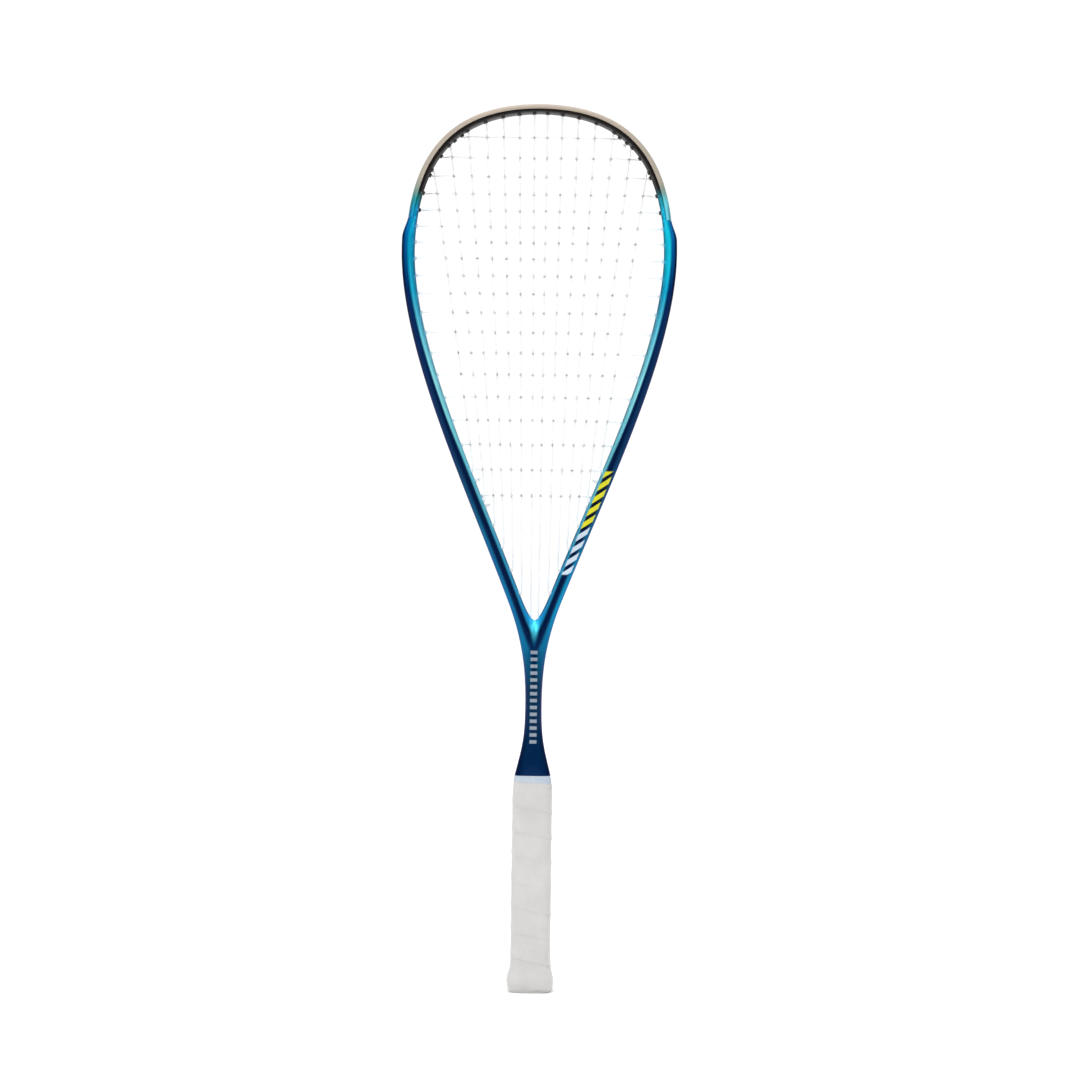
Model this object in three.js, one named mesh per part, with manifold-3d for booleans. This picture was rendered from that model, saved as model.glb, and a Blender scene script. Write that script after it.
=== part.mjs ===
// Squash racket, standing on its butt end: +Z runs from the butt to the tip, the string bed lies in
// the XZ plane and the front faces -Y. Millimetres, origin in the middle of the butt's flat end.
import * as THREE from "three";
import { LoftGeometry } from "three/addons/geometries/LoftGeometry.js";
import { mergeVertices } from "three/addons/utils/BufferGeometryUtils.js";
import Module from "manifold-3d";

const wasm = await Module();
wasm.setup();

// ---- driving dimensions ----
const tipHeight = 686;
const shoulderHeight = 572; // widest part of the hoop
const shoulderX = 103.2; // half width there, without the fin
const finRise = 3.3; // how far the side fins stand out past the bumper line
const throatHeight = 302;
const throatX = 21;
const neckHeight = 222; // thinnest part of the shaft
const neckX = 6.4;
const collarHeight = 167.4; // where the painted shaft goes under the finishing tape
const collarX = 13.8;
const finStart = 0.88; // shares of the crown curve where the fin begins to rise and is full
const finEnd = 0.96;
const bumperStop = 0.9; // share where the bumper's seat ends
const clearance = 0.3; // left between pieces that touch

const beamHalfDepth = 9;
const beamRoundness = 2.4; // 2 is an ellipse, more is squarer
const crownWidth = 6.6;
const crownBelly = 0.9; // added to the width halfway down the crown
const legWidth = 10.4;
const legEnd = 2.3; // outline place where the legs have run into the shaft
const shaftHalfDepth = 9.8;
const collarHalfDepth = 11.3;
const crotchHalfDepth = 8.9;
const shaftRoundness = 2.6;
const shaftSides = 16;
const shaftInset = 0.15; // the shaft stays this far inside the legs where they overlap
const channelDepth = 1.7; // string channel, measured from the rim
const stripThickness = 0.8;
const seatDepth = channelDepth + stripThickness + clearance; // floor of the groove in the frame
const channelHalfWidth = 3.3;
const stripHalfWidth = 4;
const grooveHalfWidth = stripHalfWidth + clearance;

const stringRadius = 0.62;
const stringSides = 6;
const trackDepth = 0.75; // string centre under the rim, where it turns outside the frame
const trackY = 2.3; // mains turn on the front side of the groove, crosses on the back side
const bedY = 0.7; // mains lie in front of the middle plane, crosses behind it
const settleLength = 9; // run over which a string moves from its hole to its plane
const barrelRadius = 1.6;
const barrelBore = 0.95;
const barrelReach = 1.3; // how far a barrel stands out inside the hoop
const frameHole = 2.2;
const barrelSides = 6;
const holeSides = 5;
const mouthRoom = 0.7; // a string runs this far past its barrel before it bends
const knotRadius = 1.35;
const mainPairs = 7;
const crossCount = 19;

const strapDrop = 0.045; // how far the lowest loose grommets reach along the groove
const looseDrop = 0.013; // and the others
const tangX = 10.5; // the shaft inside the handle
const tangY = 8.5;
const tangBottom = 28;
const handleTop = 157.7;
const gripTop = 164;
const handleDeeper = 2.5; // the handle is this much less deep than wide, on each side
const gripThickness = 1.8;
const tapeThickness = 0.4;
const tapeBottom = 160.4;
const tapeTop = 167;
const gripHalfX = 15.9; // straight part of the handle
const buttFlare = 2.6; // added where the butt is widest
const flareHeight = 8;
const flareSpread = 8.5;
const lipHeight = 4;
const lipTurnIn = 0.7;
const topTaper = 0.9;
const handleRoundness = 4;
const handleSides = 24;
const capTop = 22.5;
const capFloor = 4;
const capPocketX = 12.5;
const palletX = 13.6;

// ---- small helpers ----
function vector(x, y, z) {
  return new THREE.Vector3(x, y, z);
}

function smooth(low, high, value) {
  return THREE.MathUtils.smoothstep(value, low, high);
}

function solid(geometry) {
  const plain = new THREE.BufferGeometry().copy(geometry);
  plain.deleteAttribute("normal");
  plain.deleteAttribute("uv");
  const merged = mergeVertices(plain, 1e-4);
  return new wasm.Manifold(new wasm.Mesh({
    numProp: 3,
    vertProperties: new Float32Array(merged.attributes.position.array),
    triVerts: new Uint32Array(merged.index.array),
  }));
}

function geometryOf(body) {
  const mesh = body.getMesh();
  const geometry = new THREE.BufferGeometry();
  geometry.setAttribute("position", new THREE.BufferAttribute(mesh.vertProperties, 3));
  geometry.setIndex(new THREE.BufferAttribute(mesh.triVerts, 1));
  geometry.computeVertexNormals();
  return geometry;
}

function loft(sections) {
  return new LoftGeometry(sections, { capStart: true, capEnd: true });
}

function rod(from, to, radius, sides) {
  const length = from.distanceTo(to);
  const geometry = new THREE.CylinderGeometry(radius, radius, length, sides);
  const turn = new THREE.Quaternion();
  turn.setFromUnitVectors(vector(0, 1, 0), to.clone().sub(from).normalize());
  geometry.applyQuaternion(turn);
  const middle = from.clone().add(to).multiplyScalar(0.5);
  geometry.translate(middle.x, middle.y, middle.z);
  return geometry;
}

// level ring: a superellipse of the given half sizes at height z
function levelRing(halfX, halfY, z, roundness, count) {
  const ring = [];
  for (let i = 0; i < count; i += 1) {
    const angle = (2 * Math.PI * (i + 0.5)) / count;
    const c = Math.cos(angle);
    const s = Math.sin(angle);
    const x = halfX * Math.sign(c) * Math.abs(c) ** (2 / roundness);
    const y = halfY * Math.sign(s) * Math.abs(s) ** (2 / roundness);
    ring.push(vector(x, y, z));
  }
  return ring;
}

// ---- the hoop's outline ----
// Three curves down the right side: 0..1 crown to shoulder, 1..2 shoulder to throat, 2..3 throat to neck.
function plane(x, z) {
  return new THREE.Vector2(x, z);
}

const outlineCurves = [
  new THREE.CubicBezierCurve(
    plane(0, tipHeight), plane(66.9, tipHeight),
    plane(shoulderX, 650), plane(shoulderX, shoulderHeight)),
  new THREE.CubicBezierCurve(
    plane(shoulderX, shoulderHeight), plane(shoulderX, 496),
    plane(56, 392), plane(throatX, throatHeight)),
  new THREE.CubicBezierCurve(
    plane(throatX, throatHeight), plane(9.6, 273.4),
    plane(neckX, 249.8), plane(neckX, neckHeight)),
];

// Everything about one place on the rim: the point, the outward direction, the rise of the rim over
// the curve, and the width from the curve to the hoop's inner edge.
function place(s) {
  const index = Math.min(Math.floor(s), 2);
  const t = s - index;
  const point = outlineCurves[index].getPoint(t);
  const along = outlineCurves[index].getTangent(t);
  const ease = index === 1 ? t * t * (3 - 2 * t) : Number(index > 1);
  const fin = index === 0 ? smooth(finStart, finEnd, t) : 1 - ease;
  const belly = index === 0 ? crownBelly * Math.sin(Math.PI * t) : 0;
  return {
    x: point.x,
    z: point.y,
    outX: -along.y,
    outZ: along.x,
    rise: finRise * fin,
    width: crownWidth + belly + (legWidth - crownWidth) * ease,
  };
}

// a point at a distance outward from the curve; side is 1 on the right and -1 on the left
function onPlace(at, outward, y, side) {
  return vector(side * (at.x + at.outX * outward), y, at.z + at.outZ * outward);
}

function onRim(s, depth, y, side) {
  const at = place(s);
  return onPlace(at, at.rise - depth, y, side);
}

function innerEdge(s) {
  const at = place(s);
  return { x: at.x - at.outX * at.width, z: at.z - at.outZ * at.width };
}

// the rim place whose inner edge satisfies miss(edge) = 0, found by halving between two places
function solvePlace(miss, from, to) {
  let low = from;
  let high = to;
  const lowSign = Math.sign(miss(innerEdge(low)));
  for (let i = 0; i < 40; i += 1) {
    const middle = (low + high) / 2;
    if (Math.sign(miss(innerEdge(middle))) === lowSign) {
      low = middle;
    } else {
      high = middle;
    }
  }
  return low;
}

// ---- the string pattern ----
const topCrossHeight = 662;
const tightCross = 5.5; // the bed is tightest between the sixth and the seventh cross
const tightGap = 12.3;
const gapGrowthUp = 0.13; // by the square of the distance in crosses
const gapGrowthDown = 0.68;
const fanLow = 384.4; // two heights at which the mains' half offsets are given
const fanHigh = 648;
const lowFan = [4.8, 8.4, -0.2]; // innermost main, step to the next, change of the step
const highFan = [5.1, 10.9, 0.43];

function crossHeights() {
  const heights = [topCrossHeight];
  for (let i = 0; i < crossCount - 1; i += 1) {
    const away = i - tightCross;
    const growth = away < 0 ? gapGrowthUp * away * away : gapGrowthDown * away;
    heights.push(heights[i] - tightGap - growth);
  }
  return heights;
}

// mains fan out upward: half offset of main k at height z, on a straight line between two heights
function mainX(k, z) {
  const [lowX, highX] = [lowFan, highFan].map(([first, step, change]) => (
    first + step * k + change * k * k
  ));
  return THREE.MathUtils.mapLinear(z, fanLow, fanHigh, lowX, highX);
}

const crossPlaces = crossHeights().map((z) => solvePlace((edge) => edge.z - z, 0.02, 1.95));
const mainTops = [];
const mainFeet = [];
for (let k = 0; k < mainPairs; k += 1) {
  const miss = (edge) => edge.x - mainX(k, edge.z);
  mainTops.push(solvePlace(miss, 0, 1));
  mainFeet.push(solvePlace(miss, 1, legEnd));
}
const bumperCrosses = crossPlaces.filter((s) => s < bumperStop);
const stripCrosses = crossPlaces.filter((s) => s > bumperStop);
const looseFeet = 5; // the five lowest mains on each side have grommets of their own
// the knots' own holes lie between two holes of the pattern
const mainTie = mainFeet[6] * 0.6 + crossPlaces[18] * 0.4;
const lowTie = mainFeet[5] * 0.76 + mainFeet[4] * 0.24;
const topTie = crossPlaces[0] * 0.45 + mainTops[5] * 0.55;

// ---- strings ----
// A cord through a list of points: rings square to it, stretched at the corners to keep its thickness.
function cord(points) {
  const sections = [];
  const acrossBed = vector(0, 1, 0);
  points.forEach((point, i) => {
    const before = points[Math.max(i - 1, 0)];
    const after = points[Math.min(i + 1, points.length - 1)];
    const into = point.clone().sub(before).normalize();
    const outOf = after.clone().sub(point).normalize();
    const along = into.clone().add(outOf).normalize();
    const cosHalf = i > 0 && i < points.length - 1 ? along.dot(into) : 1;
    const stretch = Math.min(1 / cosHalf, 1.5);
    const sideways = vector(0, 0, 0).crossVectors(acrossBed, along).normalize();
    const upward = vector(0, 0, 0).crossVectors(along, sideways).normalize();
    const ring = [];
    for (let j = 0; j < stringSides; j += 1) {
      const angle = (2 * Math.PI * j) / stringSides;
      const wide = stringRadius * stretch * Math.cos(angle);
      const tall = stringRadius * Math.sin(angle);
      ring.push(point.clone().addScaledVector(sideways, wide).addScaledVector(upward, tall));
    }
    sections.push(ring);
  });
  return loft(sections);
}

// one string across the hoop, from hole to hole, settling into its own plane on the way
function run(fromPlace, fromSide, toPlace, toSide, trackLevel, bedLevel) {
  const start = onRim(fromPlace, trackDepth, trackLevel, fromSide);
  const startEdge = onPlace(place(fromPlace), -place(fromPlace).width, trackLevel, fromSide);
  const endEdge = onPlace(place(toPlace), -place(toPlace).width, trackLevel, toSide);
  const end = onRim(toPlace, trackDepth, trackLevel, toSide);
  const along = endEdge.clone().sub(startEdge).normalize();
  const inner = barrelReach + mouthRoom;
  const leave = onPlace(place(fromPlace), -place(fromPlace).width - inner, trackLevel, fromSide);
  const arrive = onPlace(place(toPlace), -place(toPlace).width - inner, trackLevel, toSide);
  const settled = startEdge.clone().addScaledVector(along, settleLength).setY(bedLevel);
  const lifting = endEdge.clone().addScaledVector(along, -settleLength).setY(bedLevel);
  return [start, leave, settled, lifting, arrive, end];
}

// along the groove outside the frame, from one hole to the next
function turn(fromPlace, toPlace, side, fromLevel, toLevel) {
  const steps = 3;
  const points = [];
  for (let i = 1; i < steps; i += 1) {
    const share = i / steps;
    const y = THREE.MathUtils.lerp(fromLevel, toLevel, share);
    points.push(onRim(THREE.MathUtils.lerp(fromPlace, toPlace, share), trackDepth, y, side));
  }
  return points;
}

// the tail runs to a hole of its own in the middle of the groove and is knotted inside the hoop
function tail(fromPlace, tiePlace, side, level) {
  const knot = onPlace(place(tiePlace), -place(tiePlace).width - barrelReach - knotRadius, 0, side);
  return [...turn(fromPlace, tiePlace, side, level, 0), onRim(tiePlace, trackDepth, 0, side), knot];
}

function knotAt(tiePlace, side) {
  const outward = -place(tiePlace).width - barrelReach - clearance - knotRadius;
  const centre = onPlace(place(tiePlace), outward, 0, side);
  const ball = new THREE.SphereGeometry(knotRadius, 8, 6);
  ball.translate(centre.x, centre.y, centre.z);
  return ball;
}

function mainStringBody() {
  const level = -trackY;
  const halfRoute = (side) => {
    const points = [];
    for (let k = 0; k < mainPairs; k += 1) {
      const down = k % 2 === 0;
      const from = down ? mainTops[k] : mainFeet[k];
      const to = down ? mainFeet[k] : mainTops[k];
      points.push(...run(from, side, to, side, level, -bedY));
      if (k < mainPairs - 1) {
        const next = down ? mainFeet[k + 1] : mainTops[k + 1];
        points.push(...turn(to, next, side, level, level));
      }
    }
    points.push(...tail(mainFeet[mainPairs - 1], mainTie, side, level));
    return points;
  };
  const crown = onRim(0, trackDepth, level, 1);
  const route = [...halfRoute(-1).reverse(), crown, ...halfRoute(1)];
  return solid(cord(route)).add(solid(knotAt(mainTie, 1))).add(solid(knotAt(mainTie, -1)));
}

function crossStringBody() {
  const level = trackY;
  const points = tail(crossPlaces[0], topTie, 1, level).reverse();
  crossPlaces.forEach((s, i) => {
    const side = i % 2 === 0 ? 1 : -1;
    points.push(...run(s, side, s, -side, level, bedY));
    if (i < crossCount - 1) {
      points.push(...turn(s, crossPlaces[i + 1], -side, level, level));
    }
  });
  points.push(...tail(crossPlaces[crossCount - 1], lowTie, -1, level));
  return solid(cord(points)).add(solid(knotAt(topTie, 1))).add(solid(knotAt(lowTie, -1)));
}

// ---- holes and barrels ----
// a hole is its place on the rim, its side and its level; its line runs from a depth under the rim to
// a distance inside the hoop
function holeLine(hole, from, to) {
  const at = place(hole.s);
  return [
    onPlace(at, at.rise - from, hole.y, hole.side),
    onPlace(at, -at.width - to, hole.y, hole.side),
  ];
}

function bumperHoles() {
  const holes = [{ s: topTie, y: 0, side: 1 }, { s: topTie, y: 0, side: -1 }];
  [1, -1].forEach((side) => {
    mainTops.forEach((s) => holes.push({ s, y: -trackY, side }));
    bumperCrosses.forEach((s) => holes.push({ s, y: trackY, side }));
  });
  return holes;
}

function stripHoles(side) {
  const holes = stripCrosses.map((s) => ({ s, y: trackY, side }));
  mainFeet.slice(looseFeet).forEach((s) => holes.push({ s, y: -trackY, side }));
  [mainTie, lowTie].forEach((s) => holes.push({ s, y: 0, side }));
  return holes;
}

function looseHole(k, side) {
  return { s: mainFeet[k], y: -trackY, side };
}

function allHoles() {
  const holes = [...bumperHoles(), ...stripHoles(1), ...stripHoles(-1)];
  for (let k = 0; k < looseFeet; k += 1) {
    holes.push(looseHole(k, 1), looseHole(k, -1));
  }
  return holes;
}

function withBarrels(body, holes) {
  let result = body;
  const middleOfStrip = channelDepth + stripThickness / 2;
  const outside = -2;
  holes.forEach((hole) => {
    result = result.add(solid(rod(...holeLine(hole, middleOfStrip, barrelReach), barrelRadius, barrelSides)));
  });
  holes.forEach((hole) => {
    const bore = rod(...holeLine(hole, outside, barrelReach + 1), barrelBore, barrelSides);
    result = result.subtract(solid(bore));
  });
  return result;
}

// ---- frame ----
// a superellipse from the inner edge to the rim, with the groove for the strips let into its outside
function frameSection(s, side) {
  const at = place(s);
  const bumperSeat = 1 - smooth(bumperStop, finEnd, s);
  const rim = at.rise - seatDepth * bumperSeat;
  const middle = (rim - at.width) / 2;
  const half = (rim + at.width) / 2;
  const lipShare = (1 - (grooveHalfWidth / beamHalfDepth) ** beamRoundness) ** (1 / beamRoundness);
  const shoulder = middle + half * lipShare;
  const floor = Math.min(at.rise - seatDepth, shoulder - 0.05);
  const upper = [];
  [145, 112, 80, 50].forEach((degrees) => { // round the section from the inner edge to the groove
    const angle = THREE.MathUtils.degToRad(degrees);
    const c = Math.cos(angle);
    const outward = middle + half * Math.sign(c) * Math.abs(c) ** (2 / beamRoundness);
    upper.push([outward, beamHalfDepth * Math.sin(angle) ** (2 / beamRoundness)]);
  });
  upper.push([shoulder, grooveHalfWidth], [floor, grooveHalfWidth]);
  const lower = upper.map(([outward, y]) => [outward, -y]).reverse();
  const ring = [[-at.width, 0], ...upper, ...lower];
  return ring.map(([outward, y]) => onPlace(at, outward, y, side));
}

function hoopLoft() {
  const crownSteps = 12;
  const sideSteps = 14;
  const stops = [];
  for (let i = 0; i <= crownSteps; i += 1) {
    stops.push((i * bumperStop) / crownSteps);
  }
  stops.push((bumperStop + finEnd) / 2, finEnd);
  for (let i = 0; i <= sideSteps; i += 1) {
    stops.push(1 + i / sideSteps);
  }
  stops.push(2.1, 2.2, legEnd);
  const left = stops.slice(1).reverse().map((s) => frameSection(s, -1));
  const right = stops.map((s) => frameSection(s, 1));
  return loft([...left, ...right]);
}

// tang, step under the tape, flare, thin neck, then a wedge that fills the crotch between the legs
function shaftLoft() {
  const flare = new THREE.CubicBezierCurve(
    plane(collarX, collarHeight), plane(8.5, 188.6),
    plane(neckX, 194.8), plane(neckX, neckHeight));
  const flareSteps = 7;
  const wedgeSteps = 8;
  const wedgeSpan = 0.8; // in outline places, up from the neck
  const ring = (halfX, halfY, z, roundness = shaftRoundness) => (
    levelRing(halfX, halfY, z, roundness, shaftSides)
  );
  const rings = [
    ring(tangX, tangY, tangBottom),
    ring(tangX, tangY, handleTop + clearance),
    ring(12.6, 10.2, 161, 3),
    ring(12.8, 10.4, gripTop + 0.6, 3),
    ring(collarX, collarX - handleDeeper, gripTop + 1.4, 3),
  ];
  for (let i = 0; i <= flareSteps; i += 1) {
    const point = flare.getPoint(i / flareSteps);
    const halfY = THREE.MathUtils.lerp(collarHalfDepth, shaftHalfDepth, smooth(168, 205, point.y));
    rings.push(ring(point.x, halfY, point.y));
  }
  for (let i = 1; i <= wedgeSteps; i += 1) {
    const at = place(3 - (i * wedgeSpan) / wedgeSteps);
    const halfY = THREE.MathUtils.lerp(shaftHalfDepth, crotchHalfDepth, smooth(235, 285, at.z));
    rings.push(ring(at.x - shaftInset, halfY, at.z, 2.5));
  }
  return loft(rings);
}

// the groove runs on below the crotch as far as the lowest grommet
function lowGroove(side) {
  const steps = 4;
  const outside = 3;
  const from = 1.95;
  const to = mainFeet[0] + strapDrop + 0.015;
  const sections = [];
  for (let i = 0; i <= steps; i += 1) {
    const at = place(THREE.MathUtils.lerp(from, to, i / steps));
    const floor = at.rise - seatDepth;
    sections.push([
      onPlace(at, outside, -grooveHalfWidth, side), onPlace(at, floor, -grooveHalfWidth, side),
      onPlace(at, floor, grooveHalfWidth, side), onPlace(at, outside, grooveHalfWidth, side),
    ]);
  }
  return loft(side > 0 ? sections : sections.reverse());
}

function frameBody() {
  let body = solid(hoopLoft()).add(solid(shaftLoft()));
  body = body.subtract(solid(lowGroove(1))).subtract(solid(lowGroove(-1)));
  allHoles().forEach((hole) => {
    body = body.subtract(solid(rod(...holeLine(hole, -1, 2), frameHole, holeSides)));
  });
  return body;
}

// ---- head bumper ----
// its section wraps the outside of the crown down to thin lips on the front and back faces
const bumperEnd = bumperStop - 0.015;

function bumperSection(s, side) {
  const seat = channelDepth + stripThickness;
  const upper = [
    [-channelDepth, channelHalfWidth], [-0.1, channelHalfWidth + 0.3], [0, 5], [-0.8, 7.1],
    [-2.3, 8.8], [-3.9, 9.35], [-4, 9.05], [-3.1, 7.4], [-2.65, 5.2], [-seat, 4.6],
  ];
  const lower = upper.map(([outward, y]) => [outward, -y]).reverse();
  const ring = [...upper, ...lower].reverse();
  const at = place(s);
  return ring.map(([outward, y]) => onPlace(at, at.rise + outward, y, side));
}

function bumperBody() {
  const steps = 16;
  const sections = [];
  for (let i = -steps; i <= steps; i += 1) {
    sections.push(bumperSection((Math.abs(i) * bumperEnd) / steps, i < 0 ? -1 : 1));
  }
  return withBarrels(solid(loft(sections)), bumperHoles());
}

// ---- grommet strips and single grommets ----
function stripLoft(from, to, steps, side) {
  const sections = [];
  for (let i = 0; i <= steps; i += 1) {
    const at = place(THREE.MathUtils.lerp(from, to, i / steps));
    const outer = at.rise - channelDepth;
    const inner = outer - stripThickness;
    sections.push([
      onPlace(at, outer, -stripHalfWidth, side), onPlace(at, inner, -stripHalfWidth, side),
      onPlace(at, inner, stripHalfWidth, side), onPlace(at, outer, stripHalfWidth, side),
    ]);
  }
  return loft(side > 0 ? sections : sections.reverse());
}

function stripBody(side) {
  return withBarrels(solid(stripLoft(bumperStop, lowTie + looseDrop, 20, side)), stripHoles(side));
}

function looseGrommetBody(k, side) {
  const hole = looseHole(k, side);
  const reach = k === 0 ? strapDrop : looseDrop;
  return withBarrels(solid(stripLoft(hole.s - reach, hole.s + reach, 2, side)), [hole]);
}

// ---- handle ----
// half width of the wrapped handle at a height, with the flare of the butt
function gripOuterX(z) {
  const flare = buttFlare * Math.exp(-(((z - flareHeight) / flareSpread) ** 2));
  const lip = z < lipHeight ? lipTurnIn * ((lipHeight - z) / lipHeight) ** 2 : 0;
  const taper = topTaper * smooth(152, 166, z);
  return gripHalfX + flare - lip - taper;
}

function handleRing(halfX, z) {
  return levelRing(halfX, halfX - handleDeeper, z, handleRoundness, handleSides);
}

function handleLoft(heights, inset) {
  return loft(heights.map((z) => handleRing(gripOuterX(z) - inset, z)));
}

function gripBody() {
  const heights = [2, 4, 7, 10, 14, 18, 23, 30, 150];
  const underTape = tapeBottom - clearance;
  const outside = solid(handleLoft([...heights, underTape], 0));
  const end = solid(handleLoft([underTape - 1, gripTop], tapeThickness + clearance));
  const inside = solid(handleLoft([0, ...heights.slice(1), 170], gripThickness));
  return outside.add(end).subtract(inside);
}

function tapeBody() {
  const outside = solid(handleLoft([tapeBottom, gripTop, tapeTop], 0));
  const inside = solid(handleLoft([tapeBottom - 1, gripTop, tapeTop + 1], tapeThickness));
  return outside.subtract(inside);
}

function capBody() {
  const skin = gripThickness + clearance;
  const roundedEnd = [[0, 15.2], [0.6, 16], [1.6, 16.2]]; // height and half width
  const rings = roundedEnd.map(([z, halfX]) => handleRing(halfX, z));
  [1.9, 4, 7, 10, 14, 18, capTop].forEach((z) => {
    rings.push(handleRing(gripOuterX(z) - skin, z));
  });
  const pocket = [capFloor, capTop + 1].map((z) => handleRing(capPocketX, z));
  let body = solid(loft(rings)).subtract(solid(loft(pocket)));
  [...staples, tack].forEach((fastener) => {
    body = body.subtract(solid(fastener.room));
  });
  return body;
}

function palletBody() {
  const inCap = capPocketX - clearance;
  const sizes = [ // height and half width
    [capFloor + clearance, inCap], [capTop + clearance, inCap],
    [capTop + 1.2, palletX], [handleTop, palletX],
  ];
  const outside = solid(loft(sizes.map(([z, halfX]) => handleRing(halfX, z))));
  const socket = solid(loft([tangBottom - clearance, handleTop + 1].map((z) => (
    levelRing(tangX + clearance, tangY + clearance, z, shaftRoundness, shaftSides)
  ))));
  let body = outside.subtract(socket);
  [...staples, tack].forEach((fastener) => {
    body = body.subtract(solid(fastener.room));
  });
  return body;
}

// a wire staple: crown outside, two legs through the cap into the pallet; facing is -1 front, 1 back
function stapleAt(facing) {
  const wire = 0.9;
  const halfSpan = 5;
  const legLength = 5.5;
  const height = 13;
  const crownY = gripOuterX(height) - handleDeeper - gripThickness - clearance - wire - 0.1;
  const outline = new THREE.Shape([
    plane(-halfSpan, -legLength), plane(-halfSpan + wire, -legLength), plane(-halfSpan + wire, 0),
    plane(halfSpan - wire, 0), plane(halfSpan - wire, -legLength), plane(halfSpan, -legLength),
    plane(halfSpan, wire), plane(-halfSpan, wire),
  ]);
  const geometry = new THREE.ExtrudeGeometry(outline, { depth: wire, bevelEnabled: false, steps: 1 });
  geometry.translate(0, crownY, height - wire / 2);
  const room = new THREE.BoxGeometry(
    2 * (halfSpan + clearance), legLength + wire + 2 * clearance + 1, wire + 2 * clearance);
  room.translate(0, crownY + (wire - legLength) / 2 + 0.5, height);
  if (facing < 0) {
    geometry.rotateZ(Math.PI);
    room.rotateZ(Math.PI);
  }
  return { geometry, room };
}

// a flat-headed tack on the left face that holds the start of the grip
function tackOnLeft() {
  const height = 9;
  const headRadius = 2.2;
  const headThickness = 0.6;
  const pinRadius = 0.7;
  const pinLength = 5;
  const headX = gripOuterX(height) - gripThickness - clearance - headThickness - 0.2;
  const profile = [
    plane(0, -pinLength), plane(pinRadius, -pinLength), plane(pinRadius, 0),
    plane(headRadius, 0), plane(headRadius, headThickness), plane(0, headThickness),
  ];
  const geometry = new THREE.LatheGeometry(profile, 10);
  const grown = [
    plane(0, -pinLength - clearance), plane(pinRadius + clearance, -pinLength - clearance),
    plane(pinRadius + clearance, -clearance), plane(headRadius + clearance, -clearance),
    plane(headRadius + clearance, headThickness + 2), plane(0, headThickness + 2),
  ];
  const room = new THREE.LatheGeometry(grown, 10);
  [geometry, room].forEach((shape) => {
    shape.rotateZ(Math.PI / 2);
    shape.translate(-headX, 0, height);
  });
  return { geometry, room };
}

const staples = [stapleAt(-1), stapleAt(1)];
const tack = tackOnLeft();

// ---- assembly ----
function material(color, roughness, metalness) {
  return new THREE.MeshStandardMaterial({ color, roughness, metalness });
}

const racket = new THREE.Group();

function addPiece(name, geometry, look) {
  const mesh = new THREE.Mesh(geometry, look);
  mesh.name = name;
  racket.add(mesh);
}

const nylon = [0xe0e4e4, 0.5, 0];
addPiece("frame", geometryOf(frameBody()), material(0x0b5a86, 0.25, 0.4));
addPiece("head_bumper", geometryOf(bumperBody()), material(0xb4a898, 0.45, 0.1));
addPiece("grommet_strip_left", geometryOf(stripBody(-1)), material(...nylon));
addPiece("grommet_strip_right", geometryOf(stripBody(1)), material(...nylon));
for (let k = 0; k < looseFeet; k += 1) {
  addPiece(`throat_grommet_left_${k + 1}`, geometryOf(looseGrommetBody(k, -1)), material(...nylon));
  addPiece(`throat_grommet_right_${k + 1}`, geometryOf(looseGrommetBody(k, 1)), material(...nylon));
}
addPiece("main_string", geometryOf(mainStringBody()), material(0xe9ecea, 0.35, 0));
addPiece("cross_string", geometryOf(crossStringBody()), material(0xe9ecea, 0.35, 0));
addPiece("handle_pallet", geometryOf(palletBody()), material(0xc9b48a, 0.8, 0));
addPiece("butt_cap", geometryOf(capBody()), material(0xe4e4e0, 0.5, 0));
addPiece("cap_staple_front", staples[0].geometry, material(0xb8bcc0, 0.3, 1));
addPiece("cap_staple_back", staples[1].geometry, material(0xb8bcc0, 0.3, 1));
addPiece("grip_tack", tack.geometry, material(0xb8bcc0, 0.3, 1));
addPiece("grip", geometryOf(gripBody()), material(0xdcdedb, 0.85, 0));
addPiece("finishing_tape", geometryOf(tapeBody()), material(0xbecad8, 0.5, 0));

export default racket;
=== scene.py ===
import math
import bpy
import bmesh
import numpy as np
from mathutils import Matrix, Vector


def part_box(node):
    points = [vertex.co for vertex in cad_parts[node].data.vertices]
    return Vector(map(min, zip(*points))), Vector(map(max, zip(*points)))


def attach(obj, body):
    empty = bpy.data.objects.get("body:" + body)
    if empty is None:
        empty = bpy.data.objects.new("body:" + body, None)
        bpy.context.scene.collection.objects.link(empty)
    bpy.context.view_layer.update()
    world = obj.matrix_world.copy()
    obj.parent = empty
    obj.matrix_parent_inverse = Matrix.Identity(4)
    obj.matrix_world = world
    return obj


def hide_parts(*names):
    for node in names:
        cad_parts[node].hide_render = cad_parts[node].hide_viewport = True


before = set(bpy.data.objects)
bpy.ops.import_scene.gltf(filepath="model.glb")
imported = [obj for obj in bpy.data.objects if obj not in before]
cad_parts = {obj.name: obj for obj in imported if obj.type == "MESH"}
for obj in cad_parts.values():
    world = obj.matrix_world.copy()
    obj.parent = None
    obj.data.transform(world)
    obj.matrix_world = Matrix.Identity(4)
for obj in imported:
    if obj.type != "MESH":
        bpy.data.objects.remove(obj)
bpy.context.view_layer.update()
mm = 0.001


def tellStage(words):
    print("stage:", words)


# small numeric helpers: all take and give whole arrays

def smoothStep(low, high, value):
    t = np.clip((np.asarray(value, float) - low) / (high - low), 0.0, 1.0)
    return t * t * (3 - 2 * t)


def unit(v):
    return v / np.linalg.norm(v, axis=-1, keepdims=True)


def bezier(points, t):
    # cubic curve through four points: the blend of the four by the powers of t and 1 - t
    p = np.asarray(points, float)
    t = np.asarray(t, float)[..., None]
    u = 1 - t
    return u**3 * p[0] + 3 * u * u * t * p[1] + 3 * u * t * t * p[2] + t**3 * p[3]


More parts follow.
